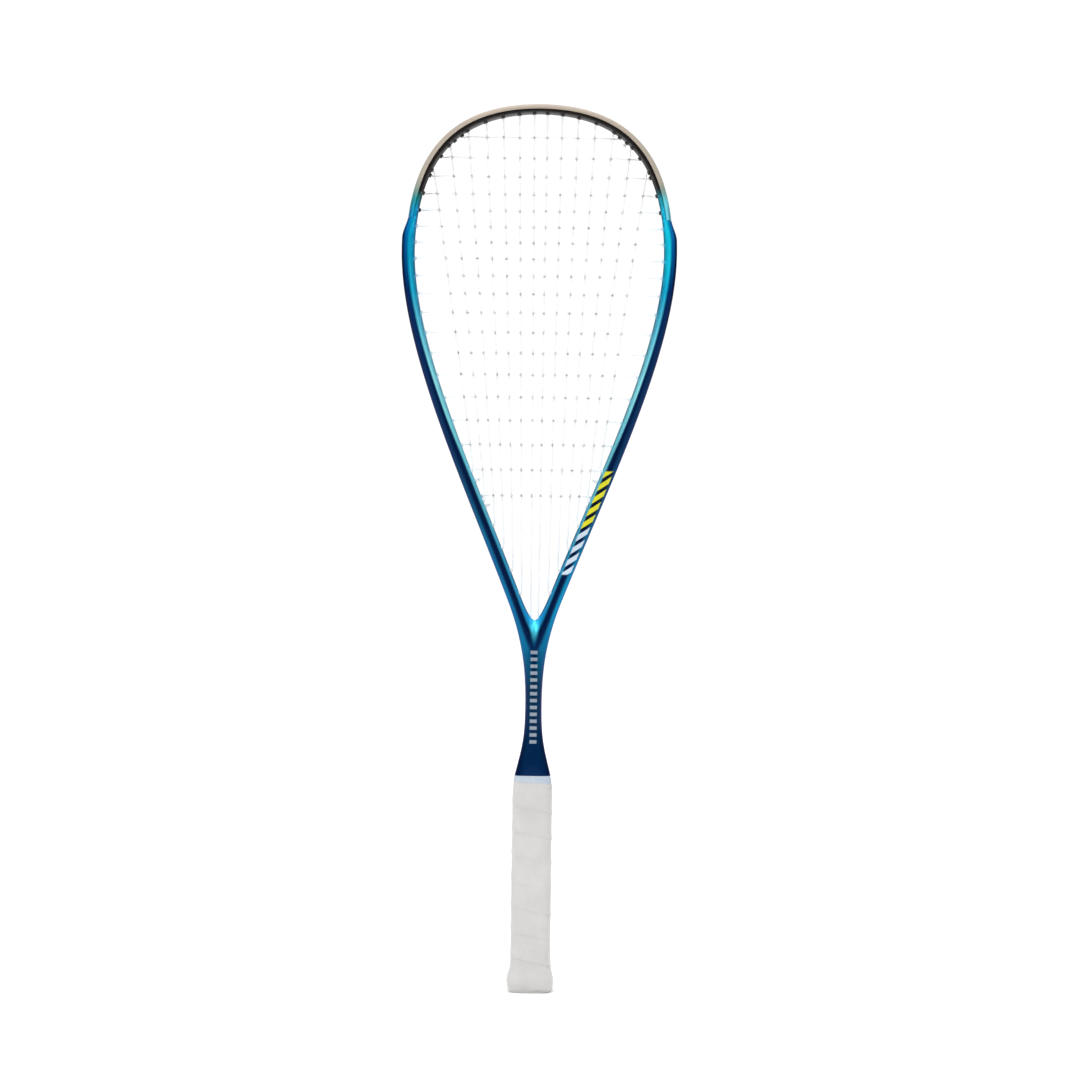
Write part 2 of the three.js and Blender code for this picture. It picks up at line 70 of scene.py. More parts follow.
def bezierSlope(points, t):
    p = np.asarray(points, float)
    t = np.asarray(t, float)[..., None]
    u = 1 - t
    return u * u * (p[1] - p[0]) + 2 * u * t * (p[2] - p[1]) + t * t * (p[3] - p[2])


def gridFaces(rows, cols, wrapRows=False, wrapCols=True, start=0):
    # the quads between neighbouring rows and columns of a grid
    i, j = np.meshgrid(
        np.arange(rows if wrapRows else rows - 1),
        np.arange(cols if wrapCols else cols - 1), indexing="ij")
    down = (i + 1) % rows
    over = (j + 1) % cols
    quads = np.stack([i * cols + j, i * cols + over, down * cols + over, down * cols + j], axis=-1)
    return quads.reshape(-1, 4) + start


def signedVolume(points, faceSets):
    total = 0.0
    for faces in faceSets:
        for k in range(1, faces.shape[1] - 1):
            a, b, c = points[faces[:, 0]], points[faces[:, k]], points[faces[:, k + 1]]
            total += np.einsum("ij,ij->i", a, np.cross(b, c)).sum() / 6
    return total


def facingOut(points, faceSets):
    if signedVolume(points, faceSets) < 0:
        return [faces[:, ::-1] for faces in faceSets]
    return faceSets


class Shells:
    # collects closed shells of one piece: points, faces by corner count, and values at the points
    def __init__(self):
        self.points = []
        self.faces = []
        self.count = 0

    def add(self, points, faceSets):
        points = points.reshape(-1, 3)
        self.faces += [faces + self.count for faces in facingOut(points, faceSets)]
        self.points.append(points)
        self.count += len(points)

    def addLoft(self, grid, capped=True, wrapRows=False):
        # rows of closed rings; the two end rings become flat faces
        rows, cols = grid.shape[:2]
        sets = [gridFaces(rows, cols, wrapRows=wrapRows)]
        if capped:
            ring = np.arange(cols)
            sets.append(ring[None, ::-1])
            sets.append(ring[None, :] + (rows - 1) * cols)
        self.add(grid, sets)

    def mesh(self, name, sharpDegrees=38):
        points = np.concatenate(self.points)
        mesh = bpy.data.meshes.new(name)
        mesh.vertices.add(len(points))
        mesh.vertices.foreach_set("co", points.ravel())
        corners = np.concatenate([faces.ravel() for faces in self.faces])
        totals = np.concatenate([np.full(len(faces), faces.shape[1]) for faces in self.faces])
        mesh.loops.add(len(corners))
        mesh.loops.foreach_set("vertex_index", corners)
        mesh.polygons.add(len(totals))
        mesh.polygons.foreach_set("loop_start", np.cumsum(totals) - totals)
        mesh.polygons.foreach_set("loop_total", totals)
        mesh.update(calc_edges=True)
        mesh.validate()
        mesh.polygons.foreach_set("use_smooth", np.ones(len(totals), bool))
        mesh.set_sharp_from_angle(angle=math.radians(sharpDegrees))
        return mesh


def placePiece(mesh, material, slotName, *nodes):
    piece = bpy.data.objects.new(mesh.name, mesh)
    bpy.context.scene.collection.objects.link(piece)
    mesh.materials.append(material)
    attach(piece, "root")
    if nodes:
        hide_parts(*nodes)
    return piece


def pointValues(mesh, name, values):
    layer = mesh.attributes.new(name, "FLOAT", "POINT")
    layer.data.foreach_set("value", np.asarray(values, np.float32).ravel())


# node helpers

def srgb(red, green, blue):
    # screen values 0..255 to the linear values that shaders take
    c = np.array([red, green, blue]) / 255
    linear = np.where(c <= 0.04045, c / 12.92, ((c + 0.055) / 1.055) ** 2.4)
    return (*[float(v) for v in linear], 1.0)


def operation(kind, swapped=False):
    def apply(self, other):
        a, b = (other, self) if swapped else (self, other)
        return self.made.math(kind, a, b)
    return apply


class Value:
    # a value that changes over the surface; + - * / between values and numbers make math nodes
    def __init__(self, made, socket):
        self.made = made
        self.socket = socket

    __add__ = operation("ADD")
    __radd__ = operation("ADD", swapped=True)
    __sub__ = operation("SUBTRACT")
    __rsub__ = operation("SUBTRACT", swapped=True)
    __mul__ = operation("MULTIPLY")
    __truediv__ = operation("DIVIDE")


class Nodes:
    # short calls for building one node tree
    def __init__(self, tree):
        self.tree = tree

    def add(self, kind, inputs=None, **settings):
        node = self.tree.nodes.new(kind)
        for name, value in settings.items():
            setattr(node, name, value)
        for name, value in (inputs or {}).items():
            self.put(node.inputs[name], value)
        return node

    def put(self, socket, value):
        value = value.socket if isinstance(value, Value) else value
        if isinstance(value, bpy.types.NodeSocket):
            self.tree.links.new(value, socket)
        else:
            socket.default_value = value

    def math(self, operation, a, b=0.0):
        node = self.add("ShaderNodeMath", inputs={0: a, 1: b}, operation=operation)
        return Value(self, node.outputs[0])

    def ramp(self, value, low, high):
        # 0 below low, 1 above high, eased between
        node = self.add(
            "ShaderNodeMapRange", interpolation_type="SMOOTHSTEP",
            inputs={"Value": value, "From Min": low, "From Max": high})
        return Value(self, node.outputs[0])

    def window(self, value, low, high, edge):
        # 1 between low and high, with both borders eased over the edge
        return self.ramp(value, low - edge, low + edge) * (1.0 - self.ramp(value, high - edge, high + edge))

    def mix(self, share, a, b):
        node = self.add("ShaderNodeMix", data_type="RGBA", inputs={0: share, 6: a, 7: b})
        return node.outputs[2]

    def colours(self, value, low, high, stops):
        # colours placed at their own values between low and high
        scaled = self.add("ShaderNodeMapRange", inputs={"Value": value, "From Min": low, "From Max": high})
        node = self.add("ShaderNodeValToRGB", inputs={0: scaled.outputs[0]})
        band = node.color_ramp
        while len(band.elements) < len(stops):
            band.elements.new(0.5)
        for element, (place, colour) in zip(band.elements, stops):
            element.position = (place - low) / (high - low)
            element.color = colour
        return node.outputs[0]

    def attribute(self, name):
        return Value(self, self.add("ShaderNodeAttribute", attribute_name=name).outputs["Fac"])

    def objectXyz(self):
        place = self.add("ShaderNodeTexCoord").outputs["Object"]
        split = self.add("ShaderNodeSeparateXYZ", inputs={0: place})
        return place, [Value(self, socket) for socket in split.outputs]

    def noise(self, place, scale, detail=3.0, roughness=0.55):
        node = self.add("ShaderNodeTexNoise", inputs={
            "Vector": place, "Scale": scale, "Detail": detail, "Roughness": roughness})
        return Value(self, node.outputs["Fac"])

    def turned(self, place, rotation, scale=(1.0, 1.0, 1.0)):
        node = self.add("ShaderNodeMapping", inputs={"Vector": place, "Rotation": rotation, "Scale": scale})
        return node.outputs[0]

    def bump(self, height, strength, distance):
        node = self.add("ShaderNodeBump", inputs={
            "Height": height, "Strength": strength, "Distance": distance})
        return node.outputs[0]

    def group(self, tree, **values):
        node = self.add("ShaderNodeGroup", node_tree=tree)
        for name, value in values.items():
            self.put(node.inputs[name.replace("_", " ")], value)
        return {socket.name: Value(self, socket) for socket in node.outputs}

    def shade(self, **values):
        # into the sockets of the material's own shader
        shader = self.tree.nodes["Principled BSDF"]
        for name, value in values.items():
            self.put(shader.inputs[name.replace("_", " ")], value)


def newGroup(name, inputs, outputs):
    tree = bpy.data.node_groups.new(name, "ShaderNodeTree")
    for label, kind, value in inputs:
        socket = tree.interface.new_socket(label, in_out="INPUT", socket_type=kind)
        if value is not None:
            socket.default_value = value
    for label in outputs:
        tree.interface.new_socket(label, in_out="OUTPUT", socket_type="NodeSocketFloat")
    made = Nodes(tree)
    source = made.add("NodeGroupInput")
    result = made.add("NodeGroupOutput")
    return tree, made, source.outputs, result.inputs


def makeSurfaceGrain():
    # fine moulded or sprayed texture: a height, and a mask of slightly darker hollows
    tree, made, given, result = newGroup(
        "surfaceGrain", [("Place", "NodeSocketVector", None), ("Scale", "NodeSocketFloat", 900.0)],
        ["Height", "Hollows"])
    cells = made.add("ShaderNodeTexVoronoi", inputs={"Vector": given["Place"], "Scale": given["Scale"]})
    both = made.noise(given["Place"], given["Scale"], 4.0, 0.5) + cells.outputs["Distance"]
    made.put(result["Height"], both)
    made.put(result["Hollows"], made.ramp(both, 0.95, 0.45))
    return tree


def makeHandling():
    # marks of use: broad smudges, and short hairline scratches
    tree, made, given, result = newGroup(
        "handlingMarks",
        [("Place", "NodeSocketVector", None), ("Smudge Scale", "NodeSocketFloat", 18.0),
         ("Scratch Scale", "NodeSocketFloat", 160.0)],
        ["Smudges", "Scratches"])
    smudge = made.noise(given["Place"], given["Smudge Scale"], 5.0, 0.5)
    stretched = made.turned(given["Place"], (0.3, 0.5, 0.9), (1.0, 1.0, 0.06))
    lines = made.noise(stretched, given["Scratch Scale"], 2.0, 0.5)
    made.put(result["Smudges"], made.ramp(smudge, 0.42, 0.68))
    made.put(result["Scratches"], made.ramp(lines, 0.70, 0.76))
    return tree


surfaceGrain = makeSurfaceGrain()
handlingMarks = makeHandling()


def newMaterial(name, **constants):
    material = bpy.data.materials.new(name)
    material.use_nodes = True
    made = Nodes(material.node_tree)
    made.shade(**constants)
    return material, made


# the hoop's outline

hoop = {
    "tipZ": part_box("head_bumper")[1].z,
    "shoulder": (0.1032, 0.572),
    "throat": (0.021, 0.302),
    "neck": (0.0064, 0.222),
    "finRise": 3.3 * mm,
    "finStart": 0.88,
    "finEnd": 0.96,
    "bumperStop": 0.9,
    "crownWidth": 6.6 * mm,
    "bellyWidth": 0.9 * mm,
    "legWidth": 10.4 * mm,
    "shaftHalfDepth": 9.8 * mm,
    "roundness": 2.4,
    "channelDepth": 1.7 * mm,
    "stripThickness": 0.8 * mm,
    "seatDepth": 2.8 * mm,
    "grooveHalfWidth": 4.3 * mm,
}
outlineCurves = [
    [(0, hoop["tipZ"]), (0.0669, hoop["tipZ"]), (hoop["shoulder"][0], 0.650), hoop["shoulder"]],
    [hoop["shoulder"], (hoop["shoulder"][0], 0.496), (0.056, 0.392), hoop["throat"]],
    [hoop["throat"], (0.0096, 0.2734), (hoop["neck"][0], 0.2498), hoop["neck"]],
]


def outlineAt(s):
    # s runs 0..1 from crown to shoulder, 1..2 to the throat, 2..3 to the neck, each a cubic curve.
    # Gives the points, the outward directions, the rise of the rim and the width inward.
    s = np.asarray(s, float)
    index = np.clip(np.floor(s), 0, 2).astype(int)
    t = s - index
    point = np.zeros(s.shape + (2,))
    slope = np.zeros(s.shape + (2,))
    for number, curve in enumerate(outlineCurves):
        here = index == number
        point[here] = bezier(curve, t[here])
        slope[here] = bezierSlope(curve, t[here])
    along = unit(slope)
    outward = np.stack([-along[..., 1], along[..., 0]], axis=-1)
    ease = np.where(index == 0, 0.0, np.where(index == 1, t * t * (3 - 2 * t), 1.0))
    fin = np.where(index == 0, smoothStep(hoop["finStart"], hoop["finEnd"], t), 1 - ease)
    belly = np.where(index == 0, hoop["bellyWidth"] * np.sin(np.pi * t), 0.0)
    width = hoop["crownWidth"] + belly + (hoop["legWidth"] - hoop["crownWidth"]) * ease
    return point, outward, hoop["finRise"] * fin, width


def standUp(flat, y, side=1.0):
    # (x, z) points of the outline's plane brought to the level y, on the right (1) or left (-1)
    return np.stack([side * flat[..., 0], np.broadcast_to(y, flat.shape[:-1]), flat[..., 1]], axis=-1)


def offRim(s, depth, y, side=1.0):
    # points at a depth under the rim
    point, outward, rise, _ = outlineAt(s)
    return standUp(point + outward * (rise - depth)[..., None], y, side)


def offInner(s, depth, y, side=1.0):
    # points at a depth past the hoop's inner edge, towards the middle
    point, outward, _, width = outlineAt(s)
    return standUp(point - outward * (width + depth)[..., None], y, side)


# where the strings go

strings = {
    "radius": 0.62 * mm,
    "sides": 10,
    "pairsOfMains": 7,
    "crosses": 19,
    "topCross": 0.662,
    "trackDepth": 1.05 * mm,
    "trackY": 2.3 * mm,
    "mainSwing": 0.40 * mm,
    "crossSwing": 0.85 * mm,
    "barrelReach": 1.3 * mm,
    "mouthRoom": 0.7 * mm,
    "cornerReach": 0.9 * mm,
    "stepAlongBed": 1.5 * mm,
    "crossingShadeReach": 0.85 * mm,
    "knotSize": 1.05 * mm,
    "knotThick": 0.5 * mm,
}


def mainX(k, z):
    # mains fan out upwards: half offset of main k at height z, straight between two levels
    low = (4.8 + 8.4 * k - 0.2 * k * k) * mm
    high = (5.1 + 10.9 * k + 0.43 * k * k) * mm
    return low + (high - low) * (z - 0.3844) / 0.2636


def crossHeights():
    # gaps grow away from the seventh cross, by the square above it and in proportion below it
    i = np.arange(strings["crosses"] - 1)
    away = i - 5.5
    gaps = 12.3 + np.where(away < 0, 0.13 * away * away, 0.68 * away)
    return strings["topCross"] - np.concatenate([[0.0], np.cumsum(gaps)]) * mm


def stringPlaces():
    s = np.linspace(0.0, 2.3, 8001)
    inner = offInner(s, 0.0, 0.0)
    x, z = inner[:, 0], inner[:, 2]
    crossZ = crossHeights()
    crossS = np.interp(-crossZ, -z, s)
    tops = []
    feet = []
    for k in range(strings["pairsOfMains"]):
        miss = x - mainX(k, z)
        upper = (s < 1.0) & (miss < 0)
        lower = (s > 1.0) & (miss > 0)
        tops.append(s[upper][-1])
        feet.append(s[lower][-1])
    return crossZ, crossS, np.array(tops), np.array(feet)


crossZ, crossS, mainTops, mainFeet = stringPlaces()
mainTie = mainFeet[-1] * 0.6 + crossS[-1] * 0.4
lowTie = mainFeet[5] * 0.76 + mainFeet[4] * 0.24
topTie = crossS[0] * 0.45 + mainTops[5] * 0.55
looseFeet = 5


def mouthsAt(places):
    # where the strings leave the barrels: the (x, z) of each mouth
    return offInner(places, strings["barrelReach"] + strings["mouthRoom"], 0.0)[:, [0, 2]]


topMouths = mouthsAt(mainTops)
footMouths = mouthsAt(mainFeet)
runZ = mouthsAt(crossS)[:, 1]


def mainLineX(z):
    # half offset of every main, for every height: straight between its two mouths
    share = (z[:, None] - footMouths[:, 1]) / (topMouths[:, 1] - footMouths[:, 1])
    return footMouths[:, 0] + (topMouths[:, 0] - footMouths[:, 0]) * share


def holesOf(places, y, side):
    return [(float(s), y, side) for s in places]


def bumperHoles():
    found = []
    for side in (1, -1):
        found += holesOf(mainTops, -strings["trackY"], side)
        found += holesOf(crossS[crossS < hoop["bumperStop"]], strings["trackY"], side)
        found += holesOf([topTie], 0.0, side)
    return found


def stripHoles(side):
    found = holesOf(crossS[crossS > hoop["bumperStop"]], strings["trackY"], side)
    found += holesOf(mainFeet[looseFeet:], -strings["trackY"], side)
    return found + holesOf([mainTie, lowTie], 0.0, side)


# frame

frameShape = {
    "ridgeShare": 0.52,  # where the front ridge lies, from the inner edge to the rim
    "apexZ": 0.2872,
    "ridgeApexZ": 0.2645,
    "seatEnd": 0.8856,
    "outerApexZ": 0.262,
    "collar": (0.0138, 0.1674),
    "legEnd": 2.0 - 0.035,
    "innerPull": 0.015,
    "ridgePull": 0.024,
    "hoopThinner": 0.9 * mm,
    "collarDeeper": 1.5 * mm,
    "legRows": 137,
    "mergeRows": 52,
    "throatRows": 40,
    "flareRows": 30,
    "frontColumns": 15,
    "innerColumns": 33,
    "grooveEnd": 0.2785,
    "grooveFade": 0.008,
}


def frameHalfDepth(z):
    # the shaft's half depth, a little thinner up in the hoop and deeper down at the collar
    thinner = frameShape["hoopThinner"] * smoothStep(0.235, 0.285, z)
    deeper = frameShape["collarDeeper"] * (1 - smoothStep(0.168, 0.205, z))
    return hoop["shaftHalfDepth"] - thinner + deeper


def frameRows():
    # Each row of the right half has an outer point, an inner point and a ridge point between them.
    # Down to the legs they are square to the outline; at the crotch the inner and ridge points reach
    # the middle plane, and below it the rows only run from the middle out to the side.
    shape = frameShape
    sLeg, seatEnd = shape["legEnd"], shape["seatEnd"]
    stops = [(0.0, 0.86, 70), (0.86, seatEnd, 6), (seatEnd, seatEnd + 0.0014, 7), (seatEnd + 0.0014, 1.0, 30)]
    s = np.concatenate(
        [np.linspace(low, high, rows, endpoint=False) for low, high, rows in stops]
        + [np.linspace(1.0, sLeg, shape["legRows"])])
    point, outward, rise, width = outlineAt(s)
    rim = rise - hoop["seatDepth"] * (1 - smoothStep(seatEnd, seatEnd + 0.0012, s))
    outer = point + outward * rim[:, None]
    inner = point - outward * width[:, None]
    ridge = inner + (outer - inner) * shape["ridgeShare"]
    # legs into the crotch
    t = np.linspace(0, 1, shape["mergeRows"] + 1)[1:]
    innerWay = unit(inner[-1] - inner[-6]) * shape["innerPull"]
    apex = np.array([0.0, shape["apexZ"]])
    innerMerge = bezier([inner[-1], inner[-1] + innerWay, apex + [0.0042, 0.0002], apex], t)
    ridgeWay = unit(ridge[-1] - ridge[-6]) * shape["ridgePull"]
    ridgeApex = np.array([0.0, shape["ridgeApexZ"]])
    ridgeMerge = bezier([ridge[-1], ridge[-1] + ridgeWay, ridgeApex + [0.0032, 0.0012], ridgeApex], t)
    dense = np.linspace(sLeg, 3.0, 4001)
    denseZ = outlineAt(dense)[0][:, 1]
    startZ = np.interp(sLeg, dense, denseZ)
    outerZ = startZ + (shape["outerApexZ"] - startZ) * (0.75 * t + 0.25 * t * t)
    outerS = np.interp(-outerZ, -denseZ, dense)
    outerMerge = outlineAt(outerS)[0]
    # throat down to the neck, then the flare down to the collar
    t = np.linspace(0, 1, shape["throatRows"] + 1)[1:]
    throatZ = shape["outerApexZ"] + (hoop["neck"][1] - shape["outerApexZ"]) * t
    throatOuter = outlineAt(np.interp(-throatZ, -denseZ, dense))[0]
    lag = (shape["ridgeApexZ"] - shape["outerApexZ"]) * (1 - smoothStep(0, 1, t))
    throatRidge = np.stack([0 * t, throatZ + lag], axis=-1)
    t = np.linspace(0, 1, shape["flareRows"] + 1)[1:]
    flare = bezier(
        [hoop["neck"], (hoop["neck"][0], 0.1948), (0.0085, 0.1886), shape["collar"]], t)
    flareRidge = np.stack([0 * t, flare[:, 1]], axis=-1)
    # step in under the tape, then the hidden tang, closed at its foot
    tang = np.array([
        [13.8, 165.6], [13.7, 165.3], [12.8, 165.2], [12.7, 161.4], [10.5, 158.4],
        [10.5, 100], [10.5, 28.3], [10.2, 28], [0.0, 28]]) * mm
    tangRidge = np.stack([0 * tang[:, 0], tang[:, 1]], axis=-1)
    closed = {
        "outer": np.concatenate([outer, outerMerge]), "inner": np.concatenate([inner, innerMerge]),
        "ridge": np.concatenate([ridge, ridgeMerge]),
        "overSeat": np.concatenate([rise - rim, np.zeros(len(outerMerge))]),
    }
    opened = {
        "outer": np.concatenate([throatOuter, flare, tang]),
        "ridge": np.concatenate([throatRidge, flareRidge, tangRidge]),
    }
    tangDepth = np.array([11.3, 11.2, 10.4, 10.3, 8.5, 8.5, 8.5, 8.2, 8.2]) * mm
    opened["depth"] = frameHalfDepth(opened["outer"][:, 1])
    closed["depth"] = np.minimum(frameHalfDepth(closed["ridge"][:, 1]), opened["depth"][0])
    opened["depth"][-len(tang):] = tangDepth
    return closed, opened


def outerQuarter(rows, roundness):
    # from the front ridge round the rim to the back ridge: a superellipse with the groove let into it.
    # position = ridge + (outer - ridge) * g and y = depth * h, where g^n + h^n = 1
    ridge, outer, depth = rows["ridge"], rows["outer"], rows["depth"]
    n = np.asarray(roundness, float)[:, None]
    span = np.maximum(np.linalg.norm(outer - ridge, axis=1)[:, None], 1e-6)
    lip = hoop["grooveHalfWidth"] + 0.25 * mm
    lipAngle = np.arccos(np.clip((lip / depth[:, None]) ** (n / 2), 0, 1))
    angle = lipAngle * np.linspace(0, 1, frameShape["frontColumns"])[None, :]
    g = np.sin(angle) ** (2 / n)
    h = np.cos(angle) ** (2 / n)
    levels = np.array([-1.0, -0.97, -0.5, 0.0, 0.5, 0.97, 1.0]) * hoop["grooveHalfWidth"]
    surface = (1 - np.abs(levels[None, :] / depth[:, None]) ** n) ** (1 / n)
    groove, fill = rows["groove"][:, None], rows["fill"][:, None]
    # the cheeks beside the groove are filled out until their crests reach the rim
    crest = (1 - (lip / depth[:, None]) ** n) ** (1 / n)
    g = g * (1 + fill * (1 / crest - 1) * smoothStep(0, 1, g / crest))
    surface = np.minimum(surface * (1 + fill * (1 / crest - 1)), 1.0)
    shoulder = surface[:, :1]
    floor = np.minimum(1 + (rows["floorShift"][:, None]) / span, shoulder - 0.05 * mm / span)
    sunk = np.repeat(floor, len(levels), axis=1)
    sunk[:, [0, -1]] = shoulder - 0.25 * (shoulder - floor)
    middle = surface + (sunk - surface) * groove
    g = np.concatenate([g, middle, g[:, ::-1]], axis=1)
    front = -h * depth[:, None]
    y = np.concatenate([front, np.repeat(levels[None, :], len(g), 0), -front[:, ::-1]], axis=1)
    flat = ridge[:, None, :] + (outer - ridge)[:, None, :] * g[..., None]
    return standUp(flat, y), 0.5 + 0.5 * g


def innerHalf(rows, roundness):
    # from the back ridge round the inner edge to the front ridge, the two ridge columns left out
    ridge, inner, depth = rows["ridge"], rows["inner"], rows["depth"]
    n = np.asarray(roundness, float)[:, None]
    angle = np.linspace(0, np.pi, frameShape["innerColumns"] + 2)[1:-1][None, :]
    g = np.abs(np.sin(angle)) ** (2 / n)
    h = np.sign(np.cos(angle)) * np.abs(np.cos(angle)) ** (2 / n)
    flat = ridge[:, None, :] + (inner - ridge)[:, None, :] * g[..., None]
    return standUp(flat, h * depth[:, None]), 0.5 - 0.5 * g


def makeFrameMesh():
    closed, opened = frameRows()
    for rows in (closed, opened):
        z = rows["outer"][:, 1]
        start = frameShape["grooveEnd"] - frameShape["grooveFade"]
        rows["groove"] = smoothStep(start, frameShape["grooveEnd"], z)
        rows["fill"] = smoothStep(start - 2 * frameShape["grooveFade"], start, z)
    closed["floorShift"] = closed["overSeat"] - hoop["seatDepth"]
    opened["floorShift"] = np.full(len(opened["outer"]), -hoop["seatDepth"])
    openZ = opened["outer"][:, 1]
    openRound = hoop["roundness"] + 0.9 * (1 - smoothStep(0.165, 0.2, openZ))
    closedRound = np.full(len(closed["outer"]), hoop["roundness"])
    outerA, flankA = outerQuarter(closed, closedRound)
    innerA, flankB = innerHalf(closed, closedRound)
    ring = np.concatenate([outerA, innerA], axis=1)
    ringFlank = np.concatenate([flankA, flankB], axis=1)
    outerB, flankC = outerQuarter(opened, openRound)
    rowsA, colsA = ring.shape[:2]
    colsB = outerB.shape[1]
    rowsB = len(outerB)
    points = np.concatenate([ring.reshape(-1, 3), outerB.reshape(-1, 3)])
    flank = np.concatenate([ringFlank.ravel(), flankC.ravel()])
    quads = [gridFaces(rowsA, colsA)]
    start = rowsA * colsA
    quads.append(gridFaces(rowsB, colsB, wrapCols=False, start=start))
    j = np.arange(colsB - 1)
    lastRow = (rowsA - 1) * colsA
    quads.append(np.stack([lastRow + j, lastRow + j + 1, start + j + 1, start + j], axis=-1))
    quads = np.concatenate(quads)
    # the left half is the right one turned over in the middle plane, and the two are welded there
    mirrored = points * [-1, 1, 1]
    count = len(points)
    allPoints = np.concatenate([points, mirrored])
    allQuads = np.concatenate([quads, quads[:, ::-1] + count])
    mesh = bpy.data.meshes.new("racket_frame")
    mesh.from_pydata(allPoints.tolist(), [], allQuads.tolist())
    pointValues(mesh, "flank", np.tile(flank, 2))
    work = bmesh.new()
    work.from_mesh(mesh)
    middle = [v for v in work.verts if abs(v.co.x) < 1e-7]
    bmesh.ops.remove_doubles(work, verts=middle, dist=2e-6)
    bmesh.ops.dissolve_degenerate(work, edges=work.edges, dist=1e-7)
    # the valley of the crotch is eased so that the two halves run into each other
    for reach, low, rounds in ((4.6 * mm, 0.2560, 5), (2.6 * mm, 0.2580, 8), (4.6 * mm, 0.2560, 3)):
        scoop = [v for v in work.verts if abs(v.co.x) < reach and low < v.co.z < 0.2885]
        for _ in range(rounds):
            bmesh.ops.smooth_vert(
                work, verts=scoop, factor=0.5, use_axis_x=True, use_axis_y=True, use_axis_z=True)
    bmesh.ops.recalc_face_normals(work, faces=work.faces)
    work.to_mesh(mesh)
    work.free()
    mesh.polygons.foreach_set("use_smooth", np.ones(len(mesh.polygons), bool))
    mesh.set_sharp_from_angle(angle=math.radians(42))
    return mesh


lacquer = {
    "inner": [  # colour of the hoop's inner face by height; the pale stops at 0.41 and 0.47 are a painted highlight
        (0.165, srgb(0, 36, 84)), (0.255, srgb(2, 50, 96)), (0.268, srgb(6, 96, 150)),
        (0.283, srgb(16, 150, 204)), (0.298, srgb(50, 174, 218)), (0.34, srgb(56, 172, 212)),
        (0.41, srgb(120, 226, 240)), (0.47, srgb(150, 240, 248)), (0.54, srgb(20, 186, 226)),
        (0.59, srgb(0, 180, 230)), (0.603, srgb(4, 168, 214)), (0.611, srgb(16, 120, 122)),
        (0.617, srgb(28, 20, 13))],
    "ridge": [
        (0.165, srgb(0, 36, 84)), (0.24, srgb(0, 38, 66)), (0.262, srgb(0, 34, 80)),
        (0.285, srgb(0, 24, 68)), (0.42, srgb(0, 24, 68)), (0.54, srgb(0, 44, 104)),
        (0.588, srgb(0, 112, 184)), (0.602, srgb(4, 158, 212)), (0.611, srgb(22, 134, 138)),
        (0.617, srgb(19, 14, 9))],
    "outer": [
        (0.165, srgb(0, 36, 84)), (0.235, srgb(0, 50, 80)), (0.262, srgb(0, 96, 138)),
        (0.302, srgb(6, 130, 174)), (0.37, srgb(0, 74, 106)), (0.42, srgb(0, 42, 78)),
        (0.565, srgb(0, 20, 64)), (0.582, srgb(0, 34, 92)), (0.596, srgb(2, 116, 184)),
        (0.603, srgb(4, 150, 204)),
        (0.611, srgb(26, 150, 156)), (0.617, srgb(33, 25, 17))],
    "innerEdge": srgb(150, 232, 244),
    # painted highlight colours of the crotch, pale above and deeper below
    "scoop": srgb(84, 232, 255),
    "crotchHighlightLow": srgb(0, 122, 196),
    "leftLeg": srgb(0, 76, 124),
    "rightShoulderHighlight": srgb(20, 226, 255),
    "rightBandHighlight": srgb(128, 240, 255),
    "barsPale": srgb(204, 218, 232),
    "barsYellow": srgb(222, 216, 22),
    "barsGround": srgb(8, 16, 26),
    "silver": srgb(150, 160, 172),
    "flake": srgb(150, 214, 238),
    "cloud": srgb(4, 34, 78),
    "glint": srgb(60, 150, 220),
    "crownGlint": srgb(120, 104, 86),
    "innerEdgeSpan": (0.36, 0.52),
    "shoulderHighlightSpan": (0.552, 0.611),
    "leftLegSpan": (0.272, 0.345),
    "narrowSpan": (0.256, 0.425),
    "crotchHighlightSpan": (0.2688, 0.300),
    "wedgeFoot": 0.2620,
    "wedgeSlope": 0.175,
    "crownSpan": (0.609, 0.617),
    "barsSpan": (0.3225, 0.4025),
    "barsTurnYellow": (0.3525, 0.3550),
    "barPitch": 0.0098,
    "barSlant": 0.010,
    "ticksSpan": (0.1905, 0.264),
    "tickPitch": 0.0053,
    "tickHalfWidth": 2.7 * mm,
}


